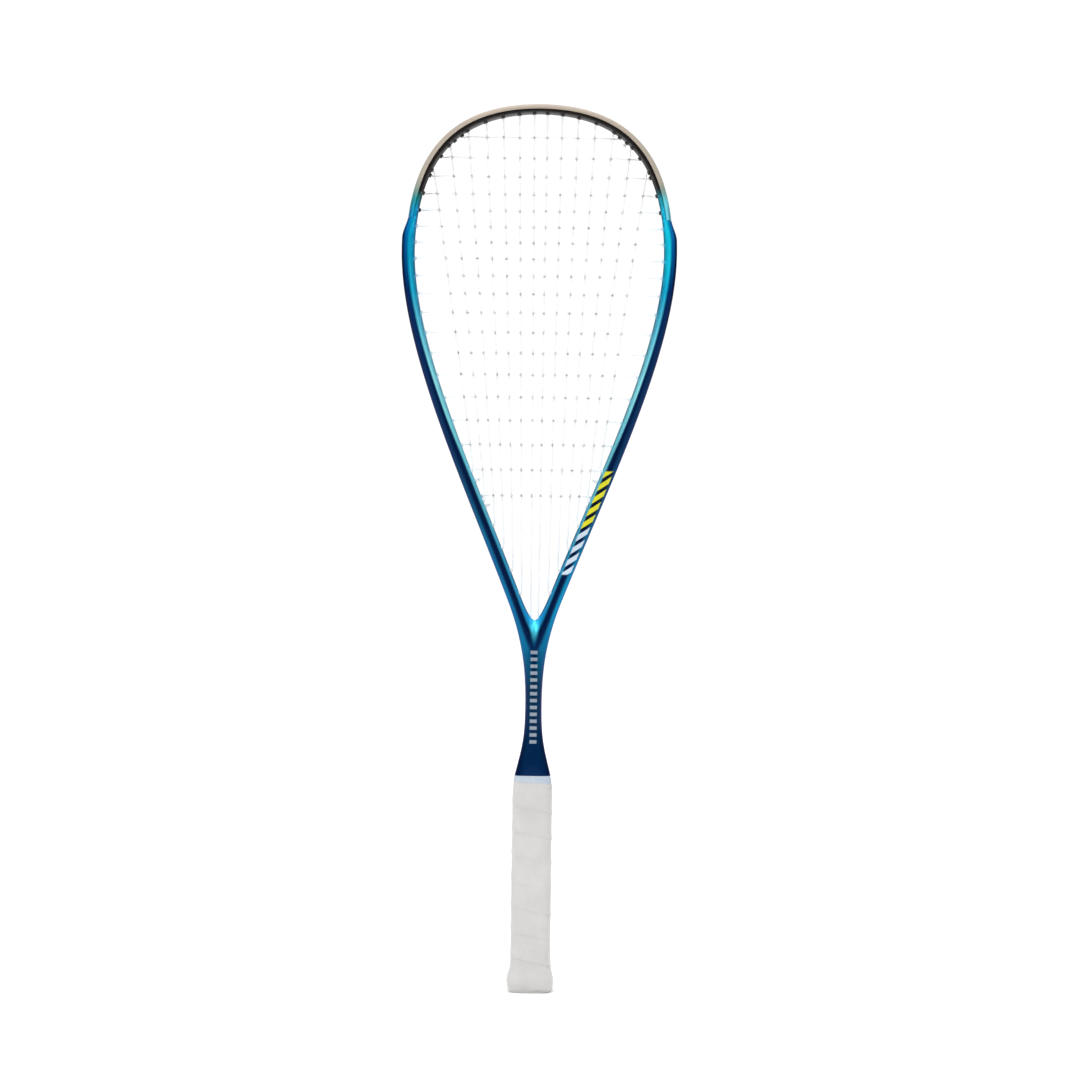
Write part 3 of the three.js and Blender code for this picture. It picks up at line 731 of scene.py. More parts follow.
def lacquerColour(made, xyz, flank):
    # the colour changes with height and between the inner flank (0), the ridge (0.5) and the outer
    # flank (1); the bright inner face is a narrow strip on the legs and widens towards the shoulders
    x, _, z = xyz
    inner, ridge, outer = (
        made.colours(z, 0.16, 0.69, lacquer[part]) for part in ("inner", "ridge", "outer"))
    # painted highlight: the inner edge is paled between these heights, where the light catches it
    innerEdge = made.window(z, *lacquer["innerEdgeSpan"], 0.04) * (1.0 - made.ramp(flank, 0.02, 0.2))
    inner = made.mix(innerEdge * 0.6, inner, lacquer["innerEdge"])
    # painted highlight: the right shoulder's inner face is paled where the light from the left falls on it
    shoulder = made.ramp(x, 0.06, 0.09) * made.window(z, *lacquer["shoulderHighlightSpan"], 0.012)
    inner = made.mix(shoulder * 0.85, inner, lacquer["rightShoulderHighlight"])
    leftLeg = made.ramp(x, 0.0, -0.012) * made.window(z, *lacquer["leftLegSpan"], 0.02)
    outer = made.mix(leftLeg * 0.55, outer, lacquer["leftLeg"])
    narrowing = made.window(z, *lacquer["narrowSpan"], 0.024) * 0.07
    shifted = flank - made.ramp(z, 0.40, 0.60) * 0.22 + narrowing
    inward = 1.0 - made.ramp(shifted, 0.22, 0.38)
    outwards = made.ramp(shifted - narrowing * 2.0, 0.50, 0.72)
    colour = made.mix(outwards, made.mix(inward, ridge, inner), outer)
    # the painted highlight in the crotch is a wedge that opens upwards from where the two ridges meet
    wedge = made.math("ABSOLUTE", x) - (z - lacquer["wedgeFoot"]) * lacquer["wedgeSlope"]
    crotchHighlight = (1.0 - made.ramp(wedge, -0.0021, 0.0012)) * made.window(z, *lacquer["crotchHighlightSpan"], 0.0075)
    light = made.mix(made.ramp(z, 0.266, 0.2785), lacquer["crotchHighlightLow"], lacquer["scoop"])
    return made.mix(crotchHighlight * 0.76, colour, light), inward


def makeFramePaint():
    # navy and cyan metallic lacquer under a clear coat
    material, made = newMaterial("frameLacquer", Coat_Roughness=0.05, Coat_IOR=1.45, IOR=1.45)
    place, xyz = made.objectXyz()
    x, y, z = xyz
    flank = made.attribute("flank")
    colour, inward = lacquerColour(made, xyz, flank)
    front = made.math("LESS_THAN", y, -0.005)
    # slanted bars on the right leg, pale below and yellow above, on a dark ground
    climb = z - flank * lacquer["barSlant"]
    bars = made.window(made.math("FRACT", climb / lacquer["barPitch"]), 0.30, 0.86, 0.03)
    legBand = made.window(z, *lacquer["barsSpan"], 0.6 * mm) * made.window(flank, 0.2, 0.80, 0.015)
    onLeg = front * made.math("GREATER_THAN", x, 0.004) * legBand
    upper = made.ramp(climb, *lacquer["barsTurnYellow"])
    ground = made.mix(onLeg * upper * 0.85, colour, lacquer["barsGround"])
    mark = onLeg * bars
    colour = made.mix(mark, ground, made.mix(upper, lacquer["barsPale"], lacquer["barsYellow"]))
    # a ladder of silver ticks up the shaft
    half = lacquer["tickHalfWidth"]
    rungs = made.window(made.math("FRACT", z / lacquer["tickPitch"]), 0.22, 0.72, 0.03)
    ladder = made.window(z, *lacquer["ticksSpan"], 0.3 * mm)
    ticks = rungs * made.window(x, -half, half, 0.12 * mm) * front * ladder
    colour = made.mix(ticks * 0.9, colour, lacquer["silver"])
    # flakes in the lacquer, faint smudges and hairlines in the coat
    flakes = made.noise(place, 11000.0, 1.0)
    colour = made.mix(made.ramp(flakes, 0.60, 0.74) * 0.10, colour, lacquer["flake"])
    drift = made.ramp(made.noise(place, 46.0), 0.35, 0.75)
    colour = made.mix(drift * 0.10, colour, lacquer["cloud"])
    marks = made.group(handlingMarks, Place=place)
    printed = made.math("MAXIMUM", mark, ticks)
    crown = made.ramp(z, *lacquer["crownSpan"])
    bright = inward * made.ramp(z, 0.262, 0.30)
    made.shade(
        Base_Color=colour,
        Metallic=(0.82 - crown * 0.72) * (1.0 - printed),
        Roughness=0.34 + marks["Smudges"] * 0.08 + marks["Scratches"] * 0.15,
        Specular_Tint=made.mix(crown, lacquer["glint"], lacquer["crownGlint"]),
        Specular_IOR_Level=0.5 - crown * 0.4,
        Coat_Weight=(0.08 + bright * 0.3) * (1.0 - marks["Scratches"] * 0.7) * (1.0 - crown * 0.8),
        Normal=made.bump(printed * 0.6 + flakes * 0.08, 0.25, 0.05 * mm))
    return material


tellStage("frame")
placePiece(makeFrameMesh(), makeFramePaint(), "frame_paint", "frame")


# barrels, bumper, strips and single grommets

grommets = {
    "barrelRadius": 1.6 * mm,
    "bore": 0.9 * mm,
    "around": 18,
    "stripHalfWidth": 4.0 * mm,
    "channelHalfWidth": 3.3 * mm,
    "bumperRows": 90,
    "stripRows": 90,
    "looseHalfLength": 0.013,
    "bumperColours": [  # by height, from the two ends up to the crown
        (0.597, srgb(0, 156, 214)), (0.605, srgb(4, 160, 198)), (0.611, srgb(18, 152, 158)),
        (0.618, srgb(112, 140, 130)), (0.628, srgb(162, 154, 138)), (0.686, srgb(168, 152, 136))],
    "barrelColour": srgb(34, 30, 27),
}


def addBarrels(shells, holes):
    # each barrel is a ring profile turned round its own axis: out along the wall, over the rounded
    # lip and back through the bore
    s, y, side = np.array(holes, float).T
    point, outward, rise, width = outlineAt(s)
    start = hoop["channelDepth"] + 0.2 * mm - rise
    reach = strings["barrelReach"]
    r, bore = grommets["barrelRadius"], grommets["bore"]
    wall = [(0, r + 0.5 * mm, 0), (0.45, r, 0), (1, r, -reach), (1, r, reach - 0.35 * mm),
            (1, r - 0.12 * mm, reach - 0.1 * mm), (1, r - 0.35 * mm, reach),
            (1, bore + 0.12 * mm, reach), (1, bore, reach - 0.12 * mm), (0, bore, 0)]
    share, radius, extra = np.array(wall).T
    axis = standUp(-outward, 0.0, side)
    base = standUp(point, y, side)
    along = start[:, None] + (width - start)[:, None] * share[None, :] + extra[None, :]
    angle = np.linspace(0, 2 * np.pi, grommets["around"], endpoint=False)
    levelWay = np.array([0.0, 1.0, 0.0])
    sideWay = np.cross(axis, levelWay)
    turned = (np.cos(angle)[None, :, None] * levelWay[None, None, :]
              + np.sin(angle)[None, :, None] * sideWay[:, None, :])
    centre = base[:, None, :] + axis[:, None, :] * along[..., None]
    grid = centre[:, :, None, :] + radius[None, :, None, None] * turned[:, None, :, :]
    for shell in grid:
        shells.addLoft(shell, capped=False, wrapRows=True)


def softenRing(ring, times=2):
    # cut every corner at its quarter points, again and again
    for _ in range(times):
        following = np.roll(ring, -1, axis=0)
        ring = np.stack([0.75 * ring + 0.25 * following, 0.25 * ring + 0.75 * following], axis=1)
        ring = ring.reshape(-1, 2)
    return ring


def loftOnRim(section, places, sides):
    # a section of (outward, y) points carried along the rim
    point, outward, rise, _ = outlineAt(places)
    away = rise[:, None] + section[None, :, 0]
    flat = point[:, None, :] + outward[:, None, :] * away[..., None]
    return standUp(flat, section[None, :, 1], sides[:, None])


def bumperSection():
    channel = grommets["channelHalfWidth"]
    half = np.array([
        [-1.68, 0.0], [-1.7, 1.8], [-1.7, channel / mm - 0.25], [-1.5, channel / mm],
        [-0.35, channel / mm + 0.15], [-0.03, channel / mm + 0.55], [0.0, 4.6], [-0.12, 5.6],
        [-0.62, 6.9], [-1.4, 8.0], [-2.4, 8.75], [-3.3, 9.08], [-4.0, 9.2], [-4.12, 9.12],
        [-4.05, 8.98], [-3.75, 8.6], [-3.4, 7.9], [-3.05, 6.9], [-2.7, 5.8], [-2.5, 4.6], [-2.5, 2.0]]) * mm
    other = half[1:][::-1] * [1, -1]
    return softenRing(np.concatenate([half, other]), 1)


def makeBumper():
    shells = Shells()
    end = hoop["bumperStop"] - 0.015
    rows = grommets["bumperRows"]
    places = np.linspace(-end, end, 2 * rows + 1)
    section = bumperSection()
    grid = loftOnRim(section, np.abs(places), np.where(places < 0, -1.0, 1.0))
    # the two ends are rounded off by drawing the last rows in towards their middle
    for step, (near, scale) in enumerate([(1.0, 0.95), (0.9994, 0.985)]):
        for row, sign in ((step, -1.0), (len(places) - 1 - step, 1.0)):
            moved = loftOnRim(section, np.array([end * near]), np.array([sign]))[0]
            centre = moved.mean(axis=0)
            grid[row] = centre + (moved - centre) * scale
    shells.addLoft(grid)
    banded = shells.count
    addBarrels(shells, bumperHoles())
    mesh = shells.mesh("crown_bumper")
    pointValues(mesh, "barrel", np.arange(shells.count) >= banded)
    return mesh


def addStrip(shells, low, high, rows, side):
    halfWidth = grommets["stripHalfWidth"]
    outer = -hoop["channelDepth"]
    inner = outer - hoop["stripThickness"]
    section = softenRing(np.array([
        [outer, -halfWidth + 0.3 * mm], [outer - 0.2 * mm, -halfWidth], [inner, -halfWidth],
        [inner, halfWidth], [outer - 0.2 * mm, halfWidth], [outer, halfWidth - 0.3 * mm],
        [outer - 0.08 * mm, 0.0]]), 1)
    places = np.linspace(low, high, rows)
    shells.addLoft(loftOnRim(section, places, np.full(rows, float(side))))


def makeStrip(side, name):
    shells = Shells()
    addStrip(shells, hoop["bumperStop"], lowTie + 0.012, grommets["stripRows"], side)
    addBarrels(shells, stripHoles(side))
    return shells.mesh(name)


def makeLooseGrommet(k, side, name):
    shells = Shells()
    reach = grommets["looseHalfLength"] if k > 0 else 0.045
    addStrip(shells, mainFeet[k] - reach, mainFeet[k] + reach, 6, side)
    addBarrels(shells, holesOf([mainFeet[k]], -strings["trackY"], side))
    return shells.mesh(name)


def makeBumperNylon():
    # satin champagne nylon that fades to the lacquer's teal at its two ends
    material, made = newMaterial("bumperNylon", IOR=1.53, Sheen_Weight=0.15)
    place, xyz = made.objectXyz()
    x, _, z = xyz
    grain = made.group(surfaceGrain, Place=place, Scale=1600.0)
    marks = made.group(handlingMarks, Place=place)
    body = made.colours(z, 0.59, 0.69, grommets["bumperColours"])
    drift = made.ramp(made.noise(place, 30.0), 0.3, 0.75) * made.ramp(z, 0.614, 0.63)
    body = made.mix(drift * 0.25, body, srgb(190, 176, 160))
    body = made.mix(grain["Hollows"] * 0.18, body, srgb(120, 106, 92))
    body = made.mix(marks["Scratches"] * 0.3, body, srgb(226, 220, 210))
    # painted highlight: the bumper's right end is paled where the light from the left falls on it
    bandHighlight = made.ramp(x, 0.06, 0.09) * made.window(z, 0.586, 0.614, 0.008)
    body = made.mix(bandHighlight * 0.85, body, lacquer["rightBandHighlight"])
    body = made.mix(made.attribute("barrel"), body, grommets["barrelColour"])
    made.shade(
        Base_Color=body, Metallic=(1.0 - made.ramp(z, 0.603, 0.622)) * 0.8,
        Roughness=0.34 + marks["Smudges"] * 0.14, Normal=made.bump(grain["Height"], 0.2, 0.05 * mm))
    return material


def makeGrommetNylon():
    material, made = newMaterial(
        "grommetNylon", IOR=1.53, Subsurface_Weight=0.3, Subsurface_Radius=(1.0, 1.0, 1.0),
        Subsurface_Scale=0.0008)
    place, _ = made.objectXyz()
    grain = made.group(surfaceGrain, Place=place, Scale=2200.0)
    marks = made.group(handlingMarks, Place=place)
    body = made.mix(grain["Hollows"] * 0.4, srgb(226, 231, 231), srgb(196, 204, 206))
    made.shade(
        Base_Color=made.mix(marks["Scratches"] * 0.35, body, srgb(168, 174, 176)),
        Roughness=0.42 + marks["Smudges"] * 0.16, Normal=made.bump(grain["Height"], 0.25, 0.05 * mm))
    return material


tellStage("bumper and grommets")
grommetNylon = makeGrommetNylon()
placePiece(makeBumper(), makeBumperNylon(), "bumper", "head_bumper")
for sideSign, sideName in ((-1, "left"), (1, "right")):
    stripName = f"side_strip_{sideName}"
    placePiece(makeStrip(sideSign, stripName), grommetNylon, "grommet", f"grommet_strip_{sideName}")
    for k in range(looseFeet):
        looseName = f"single_grommet_{sideName}_{k + 1}"
        placePiece(makeLooseGrommet(k, sideSign, looseName), grommetNylon, "grommet",
                   f"throat_grommet_{sideName}_{k + 1}")


# strings

def softCorner(before, corner, after, reach):
    # a corner drawn as a short curve that starts and ends at the given reach from it
    a = corner + unit(before - corner) * min(reach, 0.45 * np.linalg.norm(before - corner))
    b = corner + unit(after - corner) * min(reach, 0.45 * np.linalg.norm(after - corner))
    t = np.linspace(0, 1, 6)[:, None]
    return (1 - t) ** 2 * a + 2 * t * (1 - t) * corner + t**2 * b


def easedLevels(along, stops, levels):
    # a level for every distance along a run, eased by a cosine between the stops
    at = np.clip(np.searchsorted(stops, along) - 1, 0, len(stops) - 2)
    share = np.clip((along - stops[at]) / (stops[at + 1] - stops[at]), 0, 1)
    return levels[at] + (levels[at + 1] - levels[at]) * (1 - np.cos(np.pi * share)) / 2


def bedRun(start, end, crossings, swings):
    # straight across the bed, over and under the other strings
    length = np.linalg.norm(end - start)
    count = max(int(length / strings["stepAlongBed"]), 8)
    share = np.linspace(0, 1, count + 2)[1:-1]
    points = start + (end - start) * share[:, None]
    order = np.argsort(crossings)
    crossings, swings = crossings[order], swings[order]
    kept = (crossings * length > 4 * mm) & ((1 - crossings) * length > 4 * mm)
    rest = 0.8 * mm
    stops = np.concatenate([[-1.0, rest], crossings[kept] * length, [length - rest, length + 1.0]])
    levels = np.concatenate([[start[1]] * 2, swings[kept], [end[1]] * 2])
    points[:, 1] = easedLevels(share * length, stops, levels)
    return points


def routeThrough(corners, runs):
    # corners joined by soft bends; runs gives the extra points that follow some of the corners
    points = [corners[0][None, :]]
    for i in range(1, len(corners) - 1):
        points.append(softCorner(corners[i - 1], corners[i], corners[i + 1], strings["cornerReach"]))
        if i in runs:
            points.append(runs[i])
    points.append(corners[-1][None, :])
    return np.concatenate(points)


def holeEnds(s, y, side):
    outer = offRim(np.array(s), strings["trackDepth"], y, side)
    mouth = offInner(np.array(s), strings["barrelReach"] + strings["mouthRoom"], y, side)
    return outer, mouth


def alongGroove(fromS, toS, side, fromY, toY, steps=5):
    share = np.linspace(0, 1, steps + 1)[1:-1]
    y = fromY + (toY - fromY) * share
    return list(offRim(fromS + (toS - fromS) * share, strings["trackDepth"], y, side))


def tieEnd(tieS, side):
    outer, _ = holeEnds(tieS, 0.0, side)
    knot = offInner(np.array(tieS), strings["barrelReach"] + 1.6 * mm, 0.0, side)
    return [outer, knot]


def mainCrossings(k, side, start, end):
    # where main k meets the crosses, as shares of its run, and its level there
    share = (runZ - start[2]) / (end[2] - start[2])
    column = k if side > 0 else -1 - k
    swing = np.where((column + np.arange(len(runZ))) % 2 == 0, -1.0, 1.0) * strings["mainSwing"]
    inside = (share > 0) & (share < 1)
    return share[inside], swing[inside]


def crossCrossings(i, start, end):
    k = np.arange(strings["pairsOfMains"])
    x = mainLineX(runZ[i:i + 1])[0]
    columns = np.concatenate([k, -1 - k])
    share = (np.concatenate([x, -x]) - start[0]) / (end[0] - start[0])
    swing = np.where((columns + i) % 2 == 0, 1.0, -1.0) * strings["crossSwing"]
    inside = (share > 0) & (share < 1)
    return share[inside], swing[inside]


def mainRoute():
    y = -strings["trackY"]
    corners = []
    runs = {}

    def halfRoute(side, outgoing):
        order = range(strings["pairsOfMains"]) if outgoing else reversed(range(strings["pairsOfMains"]))
        last = strings["pairsOfMains"] - 1
        if not outgoing:
            corners.extend(reversed(tieEnd(mainTie, side)))
            corners.extend(alongGroove(mainTie, mainFeet[last], side, 0.0, y))
        for k in order:
            fromTop = (k % 2 == 0) == outgoing
            first, second = (mainTops[k], mainFeet[k]) if fromTop else (mainFeet[k], mainTops[k])
            outerA, mouthA = holeEnds(first, y, side)
            outerB, mouthB = holeEnds(second, y, side)
            corners.extend([outerA, mouthA])
            runs[len(corners) - 1] = bedRun(mouthA, mouthB, *mainCrossings(k, side, mouthA, mouthB))
            corners.extend([mouthB, outerB])
            follow = k + 1 if outgoing else k - 1
            if 0 <= follow <= last:
                there = mainFeet[follow] if fromTop else mainTops[follow]
                corners.extend(alongGroove(second, there, side, y, y))
        if outgoing:
            corners.extend(alongGroove(mainFeet[last], mainTie, side, y, 0.0))
            corners.extend(tieEnd(mainTie, side))

    halfRoute(-1, False)
    corners.append(offRim(np.array(0.0), strings["trackDepth"], y, 1.0))
    halfRoute(1, True)
    return routeThrough(corners, runs)


def crossRoute():
    y = strings["trackY"]
    corners = list(reversed(tieEnd(topTie, 1)))
    corners.extend(alongGroove(topTie, crossS[0], 1, 0.0, y))
    runs = {}
    last = strings["crosses"] - 1
    for i in range(strings["crosses"]):
        side = 1 if i % 2 == 0 else -1
        outerA, mouthA = holeEnds(crossS[i], y, side)
        outerB, mouthB = holeEnds(crossS[i], y, -side)
        corners.extend([outerA, mouthA])
        runs[len(corners) - 1] = bedRun(mouthA, mouthB, *crossCrossings(i, mouthA, mouthB))
        corners.extend([mouthB, outerB])
        if i < last:
            corners.extend(alongGroove(crossS[i], crossS[i + 1], -side, y, y))
    corners.extend(alongGroove(crossS[last], lowTie, -1, y, 0.0))
    corners.extend(tieEnd(lowTie, -1))
    return routeThrough(corners, runs)


def ringsRound(curve, along, sideways, radius, sides):
    # a round section at every point of a curve, square to the curve's direction
    upward = np.cross(along, sideways)
    angle = np.linspace(0, 2 * np.pi, sides, endpoint=False)[None, :, None]
    ring = np.cos(angle) * sideways[:, None, :] + np.sin(angle) * upward[:, None, :]
    return curve[:, None, :] + radius * ring


def tubeAlong(route, radius, sides):
    keep = np.concatenate([[True], np.linalg.norm(np.diff(route, axis=0), axis=1) > 1e-6])
    route = route[keep]
    along = unit(np.gradient(route, axis=0))
    sideways = unit(np.cross(np.array([0.0, 1.0, 0.0]), along))
    return ringsRound(route, along, sideways, radius, sides)


def knotRings(centre, size, thick):
    # an overhand knot: the trefoil curve (sin t + 2 sin 2t, -1.3 sin 3t, cos t - 2 cos 2t) as a tube
    t = np.linspace(0, 2 * np.pi, 73)[:-1]
    curve = np.stack(
        [np.sin(t) + 2 * np.sin(2 * t), -1.3 * np.sin(3 * t), np.cos(t) - 2 * np.cos(2 * t)], axis=-1)
    curve = curve * size / 3
    along = unit(np.roll(curve, -1, axis=0) - np.roll(curve, 1, axis=0))
    sideways = unit(np.cross(along, unit(-curve + 1e-9)))
    return centre + ringsRound(curve, along, sideways, thick, 8)


def crossingShadeValues(points, isMain):
    # painted shade where strings cross: 1 where another string crosses, fading over a millimetre: exp of
    # minus the distance squared
    if isMain:
        away = np.abs(points[:, 2:3] - runZ)
    else:
        away = np.abs(np.abs(points[:, 0:1]) - mainLineX(points[:, 2]))
    inBed = (np.abs(points[:, 1]) < 1.7 * mm)
    return np.exp(-((away.min(axis=1) / strings["crossingShadeReach"]) ** 2)) * inBed


def makeString(name, route, knots, isMain):
    shells = Shells()
    shells.addLoft(tubeAlong(route, strings["radius"], strings["sides"]))
    for tieS, side in knots:
        centre = offInner(np.array(tieS), strings["barrelReach"] + 1.7 * mm, 0.0, side)
        knot = knotRings(centre, strings["knotSize"], strings["knotThick"])
        shells.addLoft(knot, capped=False, wrapRows=True)
    mesh = shells.mesh(name, 60)
    pointValues(mesh, "crossing", crossingShadeValues(np.concatenate(shells.points), isMain))
    return mesh


def makeStringNylon():
    # clear coated multifilament: pale, slightly translucent, with the faint lines of its wound fibres
    material, made = newMaterial(
        "stringNylon", IOR=1.53, Coat_Roughness=0.08, Subsurface_Weight=0.5,
        Subsurface_Radius=(1.0, 1.0, 1.0), Subsurface_Scale=0.0012)
    place, _ = made.objectXyz()
    fibres = made.add(
        "ShaderNodeTexWave", wave_type="BANDS", bands_direction="DIAGONAL",
        inputs={"Vector": made.turned(place, (0.0, 0.6, 0.0)), "Scale": 900.0, "Distortion": 1.5})
    lines = Value(made, fibres.outputs["Fac"])
    tint = made.noise(place, 90.0, 2.0)
    body = made.mix(made.ramp(tint, 0.3, 0.75), srgb(247, 245, 246), srgb(254, 252, 253))
    body = made.mix(lines * 0.08, body, srgb(208, 208, 207))
    made.shade(
        # painted shade: the strings darken where they cross each other
        Base_Color=made.mix(made.attribute("crossing") * 0.85, body, srgb(104, 106, 108)),
        Roughness=0.28 + tint * 0.12, Coat_Weight=0.3 + tint * 0.2,
        Normal=made.bump(lines, 0.2, 0.03 * mm))
    return material


tellStage("strings")
stringNylon = makeStringNylon()
mains = makeString("woven_mains", mainRoute(), [(mainTie, 1), (mainTie, -1)], True)
crosses = makeString("woven_crosses", crossRoute(), [(topTie, 1), (lowTie, -1)], False)
placePiece(mains, stringNylon, "string", "main_string")
placePiece(crosses, stringNylon, "string", "cross_string")


# handle

handle = {
    "deeper": 2.5 * mm,
    "roundness": 4.0,
    "gripLow": 2.0 * mm,
    "gripHigh": 0.164,
    "ribbonWidth": 24.5 * mm,
    "ribbonPitch": 19.6 * mm,
    "ribbonThickness": 1.45 * mm,
    "overlapRise": 0.32 * mm,
    "tapeLow": 0.1607,
    "tapeLean": 1.0 * mm,
    "tapeHigh": 0.167,
    "tapeDrawn": 0.65 * mm,
    "tapeTurns": 1.12,
    "tapeStart": 1.9,
    "tapeThickness": 0.12 * mm,
    "columnsPerTurn": 120,
}


def gripHalfWidth(z):
    # straight, with the bell of the butt's flare, a turned-in lower lip and a slight taper at the top
    z = np.asarray(z, float) / mm
    flare = 2.6 * np.exp(-(((z - 8) / 8.5) ** 2))
    lip = np.where(z < 4, -0.7 * ((4 - np.minimum(z, 4)) / 4) ** 2, 0.0)
    return (15.9 + flare + lip - 0.9 * smoothStep(152, 166, z)) * mm


def levelRing(halfX, angle, z, inset=0.0):
    # superellipse round the handle: |x/a|^n + |y/b|^n = 1, with b smaller than a by a fixed amount
    n = handle["roundness"]
    c, s = np.cos(angle), np.sin(angle)
    a = halfX - inset
    b = halfX - handle["deeper"] - inset
    x = a * np.sign(c) * np.abs(c) ** (2 / n)
    y = b * np.sign(s) * np.abs(s) ** (2 / n)
    return np.stack(np.broadcast_arrays(x, y, z), axis=-1)


def evenAngles(count):
    # angles that space the points of the superellipse evenly round it
    fine = np.linspace(0, 2 * np.pi, 4001)
    ring = levelRing(0.0149, fine, 0.0)
    length = np.concatenate([[0.0], np.cumsum(np.linalg.norm(np.diff(ring, axis=0), axis=1))])
    return np.interp(np.linspace(0, length[-1], count + 1)[:-1], length, fine)


def tapeEdge(theta):
    # the tape's lower edge leans: lowest on the right, highest on the left
    return handle["tapeLow"] + handle["tapeLean"] * (1 - np.cos(theta))[:, None]


def makeGrip():
    # A ribbon wound upwards: u is the turn, v runs across the ribbon from its lower edge to its upper.
    # Height z = start + pitch * u + width * (v - 1/2); the lower edge lies on the turn before it, so
    # the skin stands proud there and sinks to the base level over the overlap.
    low, high = handle["gripLow"], handle["gripHigh"]
    width, pitch = handle["ribbonWidth"], handle["ribbonPitch"]
    first = low - width / 2
    turns = (high + width / 2 - first) / pitch
    columns = int(turns * handle["columnsPerTurn"])
    u = np.linspace(0, turns, columns + 1)
    centreZ = first + pitch * u
    vLow = np.clip((low - centreZ) / width + 0.5, 0, 1)
    vHigh = np.clip((high - centreZ) / width + 0.5, 0, 1)
    across = np.array([
        0, 0.004, 0.012, 0.03, 0.06, 0.1, 0.15, 0.2, 0.26, 0.34, 0.44, 0.54, 0.64, 0.74, 0.82, 0.9, 0.97, 1])
    v = vLow[:, None] + (vHigh - vLow)[:, None] * across[None, :]
    z = centreZ[:, None] + width * (v - 0.5)
    overlap = 1 - pitch / width
    onTop = 1 - smoothStep(0.25 * overlap, 1.5 * overlap, v)
    under = smoothStep(1 - overlap, 1 - 0.4 * overlap, v)
    nearEdge = np.minimum(v / 0.03, 1.0)
    edge = np.sqrt(np.clip(1 - (1 - nearEdge) ** 2, 0, 1))
    turnAngle = np.mod(-2 * np.pi * (u - 0.1), 2 * np.pi)
    even = np.append(evenAngles(720), 2 * np.pi)
    theta = np.interp(turnAngle, np.linspace(0, 2 * np.pi, 721), even)
    wobble = 0.07 * mm * np.sin(9.7 * u[:, None] + 3 * v) * np.sin(4.3 * u[:, None])
    rise = handle["overlapRise"]
    # under the finishing tape the ribbon is pressed flat
    edgeZ = tapeEdge(theta)
    pressed = smoothStep(edgeZ - 0.0012, edgeZ + 0.0004, z)
    skin = rise * onTop * edge - 0.35 * mm * under + wobble * (1 - under)
    skin = skin * (1 - pressed) - 0.25 * mm * pressed
    inset = 0.45 * mm - skin
    outerSkin = levelRing(gripHalfWidth(z), theta[:, None], z, inset)
    thick = handle["ribbonThickness"] * (0.25 + 0.75 * edge) * (1 - 0.6 * under)
    innerSkin = levelRing(gripHalfWidth(z), theta[:, None], z, inset + thick)
    ring = np.concatenate([outerSkin, innerSkin[:, ::-1]], axis=1)
    # the first and last rows, where the ribbon is still too narrow, are left out
    ring = ring[4:-4]
    shells = Shells()
    shells.addLoft(ring)
    return shells.mesh("wound_grip", 50)


def makeTape():
    # a band wound a little more than once: its end is lifted by just over its thickness onto its start
    turns = handle["tapeTurns"]
    u = np.linspace(0, turns, 170)
    theta = 2 * np.pi * u + handle["tapeStart"]
    across = np.array([0, 0.03, 0.1, 0.3, 0.5, 0.7, 0.9, 0.97, 1.0])
    low = tapeEdge(theta)
    z = low + (handle["tapeHigh"] - low) * across[None, :]
    flatness = 1 - (2 * across - 1) ** 12
    lift = 0.16 * mm * smoothStep(turns - 0.16, turns - 0.1, u)[:, None]
    ripple = 0.03 * mm * np.sin(23 * u[:, None] + 5 * across[None, :])
    half = gripHalfWidth(z)
    # above the end of the grip it is drawn in onto the shaft
    drawn = handle["tapeDrawn"] * smoothStep(0.1622, 0.1664, z)
    inset = 0.3 * mm - lift - ripple - 0.08 * mm * (flatness[None, :] - 1) + drawn
    outerSkin = levelRing(half, theta[:, None], z, inset)
    innerSkin = levelRing(half, theta[:, None], z, inset + handle["tapeThickness"])
    shells = Shells()
    shells.addLoft(np.concatenate([outerSkin, innerSkin[:, ::-1]], axis=1))
    return shells.mesh("tape_band", 50)


def makeCap():
    # one profile of half width against height, carried round the superellipse: up from the middle of
    # the end face, over its rim and the wall under the grip, and down into the pocket for the pallet
    skin = 2.3 * mm
    wallZ = np.array([1.9, 3, 4.5, 6, 8, 10, 12, 14, 16, 18, 20, 22.5]) * mm
    wall = np.stack([gripHalfWidth(wallZ) - skin, wallZ], axis=-1)
    foot = np.array([
        [2.6, 0.9], [4.0, 0.9], [6.0, 0.9], [6.3, 0.8], [6.5, 0.55], [7.6, 0.5], [7.9, 0.8], [8.2, 0.9],
        [11.4, 0.9], [12.0, 0.8], [12.3, 0.35], [12.8, 0.05], [13.4, 0.0], [14.6, 0.0], [15.4, 0.12],
        [15.95, 0.45], [16.2, 0.95], [16.25, 1.5], [16.1, 1.75]]) * mm
    pocket = np.array([[12.5, 22.5], [12.5, 14], [12.5, 4.2], [12.2, 4.0], [6.0, 4.0], [2.6, 4.0]]) * mm
    profile = np.concatenate([foot, wall, pocket])
    angle = evenAngles(96)
    grid = levelRing(profile[:, :1], angle[None, :], profile[:, 1:])
    shells = Shells()
    shells.addLoft(grid)
    return shells.mesh("cap_shell", 40)


